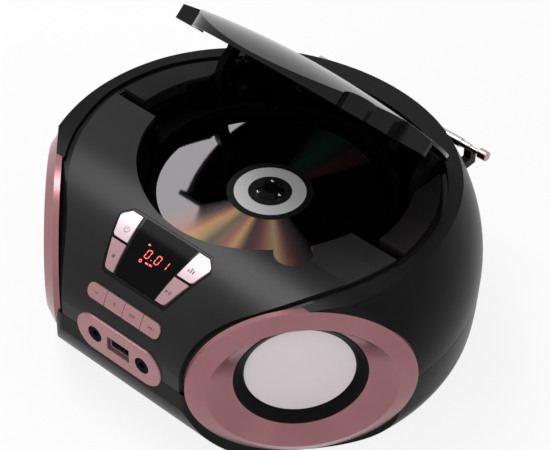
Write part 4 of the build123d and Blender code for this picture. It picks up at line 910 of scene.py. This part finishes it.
class Sockets(Assembly):
    """Front panel, its sockets and the mains inlet."""

    finishes = ((ROSE_KEY, ("jack_panel",)), (INNER_BLACK, ("aux_jack", "headphone_jack", "ac_inlet")),
                (STEEL, ("usb_socket",)))


class Speakers(Assembly):
    """Both speakers: rings, cones, surrounds and what is behind them."""

    finishes = ((ROSE_RING, ("speaker_ring_right", "speaker_ring_left")),
                (CONE_PAPER, ("speaker_cone_right", "speaker_cone_left")),
                (RUBBER, ("speaker_surrounds",)), (INNER_BLACK, ("speaker_frames",)),
                (MAGNET, ("speaker_magnets",)))


class Aerial(Assembly):
    """Telescopic aerial on the back."""

    finishes = ((CHROME, ("aerial_tube_outer", "aerial_tube_middle", "aerial_yoke")),
                (ROSE_METAL, ("aerial_tube_inner",)), (SHELL_SATIN, ("aerial_bracket", "aerial_clip")))


class Innards(Assembly):
    """Boards, transformer and cells."""

    finishes = ((CIRCUIT, ("control_board", "key_row_board", "socket_board", "main_board")),
                (LAMINATED, ("transformer",)), (CELL, ("battery_cells",)), (BRASS, ("battery_contacts",)))


# Studio


@dataclass
class Camera:
    """Camera that took the photograph, in the disc's own frame.

    Its turn, rise and roll are in radians, and its distances in millimetres.
    """

    turn: float = 0.7091152
    rise: float = 0.7266319
    roll: float = 0.0275394
    reach: float = 1056.0888
    across: float = -2.58547
    along: float = 17.98982
    focal_pixels: float = 2000.0
    width_pixels: float = 550.0
    sensor: float = 36.0
    nearest: float = 0.05
    farthest: float = 20.0

    def axes(self) -> Matrix:
        """Return the camera's right, up and back directions as rows."""
        a, e = self.turn, self.rise
        back = Vector((math.sin(a) * math.cos(e), -math.cos(a) * math.cos(e), math.sin(e)))
        right = Vector((math.cos(a), math.sin(a), 0.0))
        up = back.cross(right)
        c, s = math.cos(self.roll), math.sin(self.roll)
        return Matrix((right * c + up * s, up * c - right * s, back))

    def build(self) -> None:
        """Place the camera and make it the scene's own."""
        axes = self.axes()
        place = axes.transposed() @ Vector((-self.across, -self.along, self.reach)) * MM
        place += Vector((0.0, DISC_AXIS_Y, DISC_TOP))
        data = bpy.data.cameras.new("photo_camera")
        data.sensor_width = self.sensor
        data.lens = self.focal_pixels / self.width_pixels * self.sensor
        data.clip_start, data.clip_end = self.nearest, self.farthest
        camera = bpy.data.objects.new("photo_camera", data)
        camera.matrix_world = Matrix.Translation(place) @ axes.transposed().to_4x4()
        bpy.context.scene.collection.objects.link(camera)
        bpy.context.scene.camera = camera


@dataclass
class Lamp:
    """Square soft lamp, aimed at a point of the object."""

    name: str
    place: tuple[float, float, float]
    size: float
    power: float
    mirrored: bool = True
    aim: tuple[float, float, float] = (0.0, 0.0, 0.08)

    def build(self) -> None:
        """Place the lamp, and hide it from gloss where it is only for fill."""
        data = bpy.data.lights.new(self.name, "AREA")
        data.size = self.size
        data.energy = self.power
        lamp = bpy.data.objects.new(self.name, data)
        lamp.visible_glossy = self.mirrored
        lamp.location = self.place
        lamp.rotation_euler = (Vector(self.place) - Vector(self.aim)).to_track_quat("Z", "Y").to_euler()
        bpy.context.scene.collection.objects.link(lamp)


@dataclass
class Studio:
    """White floor, plain surroundings and soft lamps."""

    floor_half: float = 6.0
    floor_tone: float = 0.8
    floor_glow: float = 0.85
    fill: float = 0.45
    lamps: tuple[Lamp, ...] = (
        Lamp("lamp_over", (-0.62, 0.02, 1.4), 0.6, 13.0),
        Lamp("lamp_front", (0.1, -1.5, 0.7), 0.8, 8.0, mirrored=False),
        Lamp("lamp_side", (1.4, 0.1, 0.7), 0.7, 5.0, mirrored=False),
    )

    def build(self) -> None:
        """Set up the world, floor and lamps."""
        self.surroundings()
        self.floor()
        for lamp in self.lamps:
            lamp.build()
        bpy.context.scene.view_settings.view_transform = "Standard"

    @staticmethod
    def showing(graph: Graph) -> Socket:
        """Return an output that is 1 on camera, glossy and transmission rays, and 0 on the rest."""
        path = graph.node("ShaderNodeLightPath").outputs
        mirror = graph.math("MAXIMUM", path["Is Glossy Ray"], path["Is Transmission Ray"])
        return graph.math("MAXIMUM", path["Is Camera Ray"], mirror)

    def surroundings(self) -> None:
        """World that the camera, gloss and glass see as white, and that lights more softly."""
        world = bpy.data.worlds.new("studio")
        bpy.context.scene.world = world
        world.use_nodes = True
        graph = Graph(world.node_tree)
        graph.set(world.node_tree.nodes["Background"], {
            "Color": (1.0, 1.0, 1.0, 1.0), "Strength": graph.span(self.showing(graph), self.fill, 1.0)})

    def floor(self) -> None:
        """White floor that keeps a faint shadow of the object, and is clear from below."""
        mesh = bpy.data.meshes.new("floor")
        half = self.floor_half
        mesh.from_pydata([(-half, -half, 0.0), (half, -half, 0.0), (half, half, 0.0), (-half, half, 0.0)], [],
                         [(0, 1, 2, 3)])
        material, shader = blank_material("floor_white")
        graph = Graph(material.node_tree)
        graph.set(shader, {
            "Base Color": (*grey(self.floor_tone), 1.0), "Roughness": 1.0, "Specular IOR Level": 0.0})
        glow = graph.math("MULTIPLY", self.showing(graph), self.floor_glow)
        white = graph.node("ShaderNodeEmission").outputs["Emission"]
        above = graph.node("ShaderNodeMixShader", {"Fac": glow, 1: shader.outputs["BSDF"], 2: white})
        side = graph.node("ShaderNodeNewGeometry").outputs["Backfacing"]
        clear = graph.node("ShaderNodeBsdfTransparent").outputs["BSDF"]
        whole = graph.node("ShaderNodeMixShader", {"Fac": side, 1: above.outputs["Shader"], 2: clear})
        graph.set(material.node_tree.nodes["Material Output"], {"Surface": whole.outputs["Shader"]})
        mesh.materials.append(material)
        floor = bpy.data.objects.new("floor", mesh)
        bpy.context.scene.collection.objects.link(floor)


def main() -> None:
    """Dress the object, add its new pieces, and set up the studio."""
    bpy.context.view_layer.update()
    Camera().build()
    Studio().build()
    for kind in (Case, DiscDrive, Lid, Display, Keys, Sockets, Speakers, Aerial, Innards):
        kind().build()


if __name__ == "__main__":
    main()
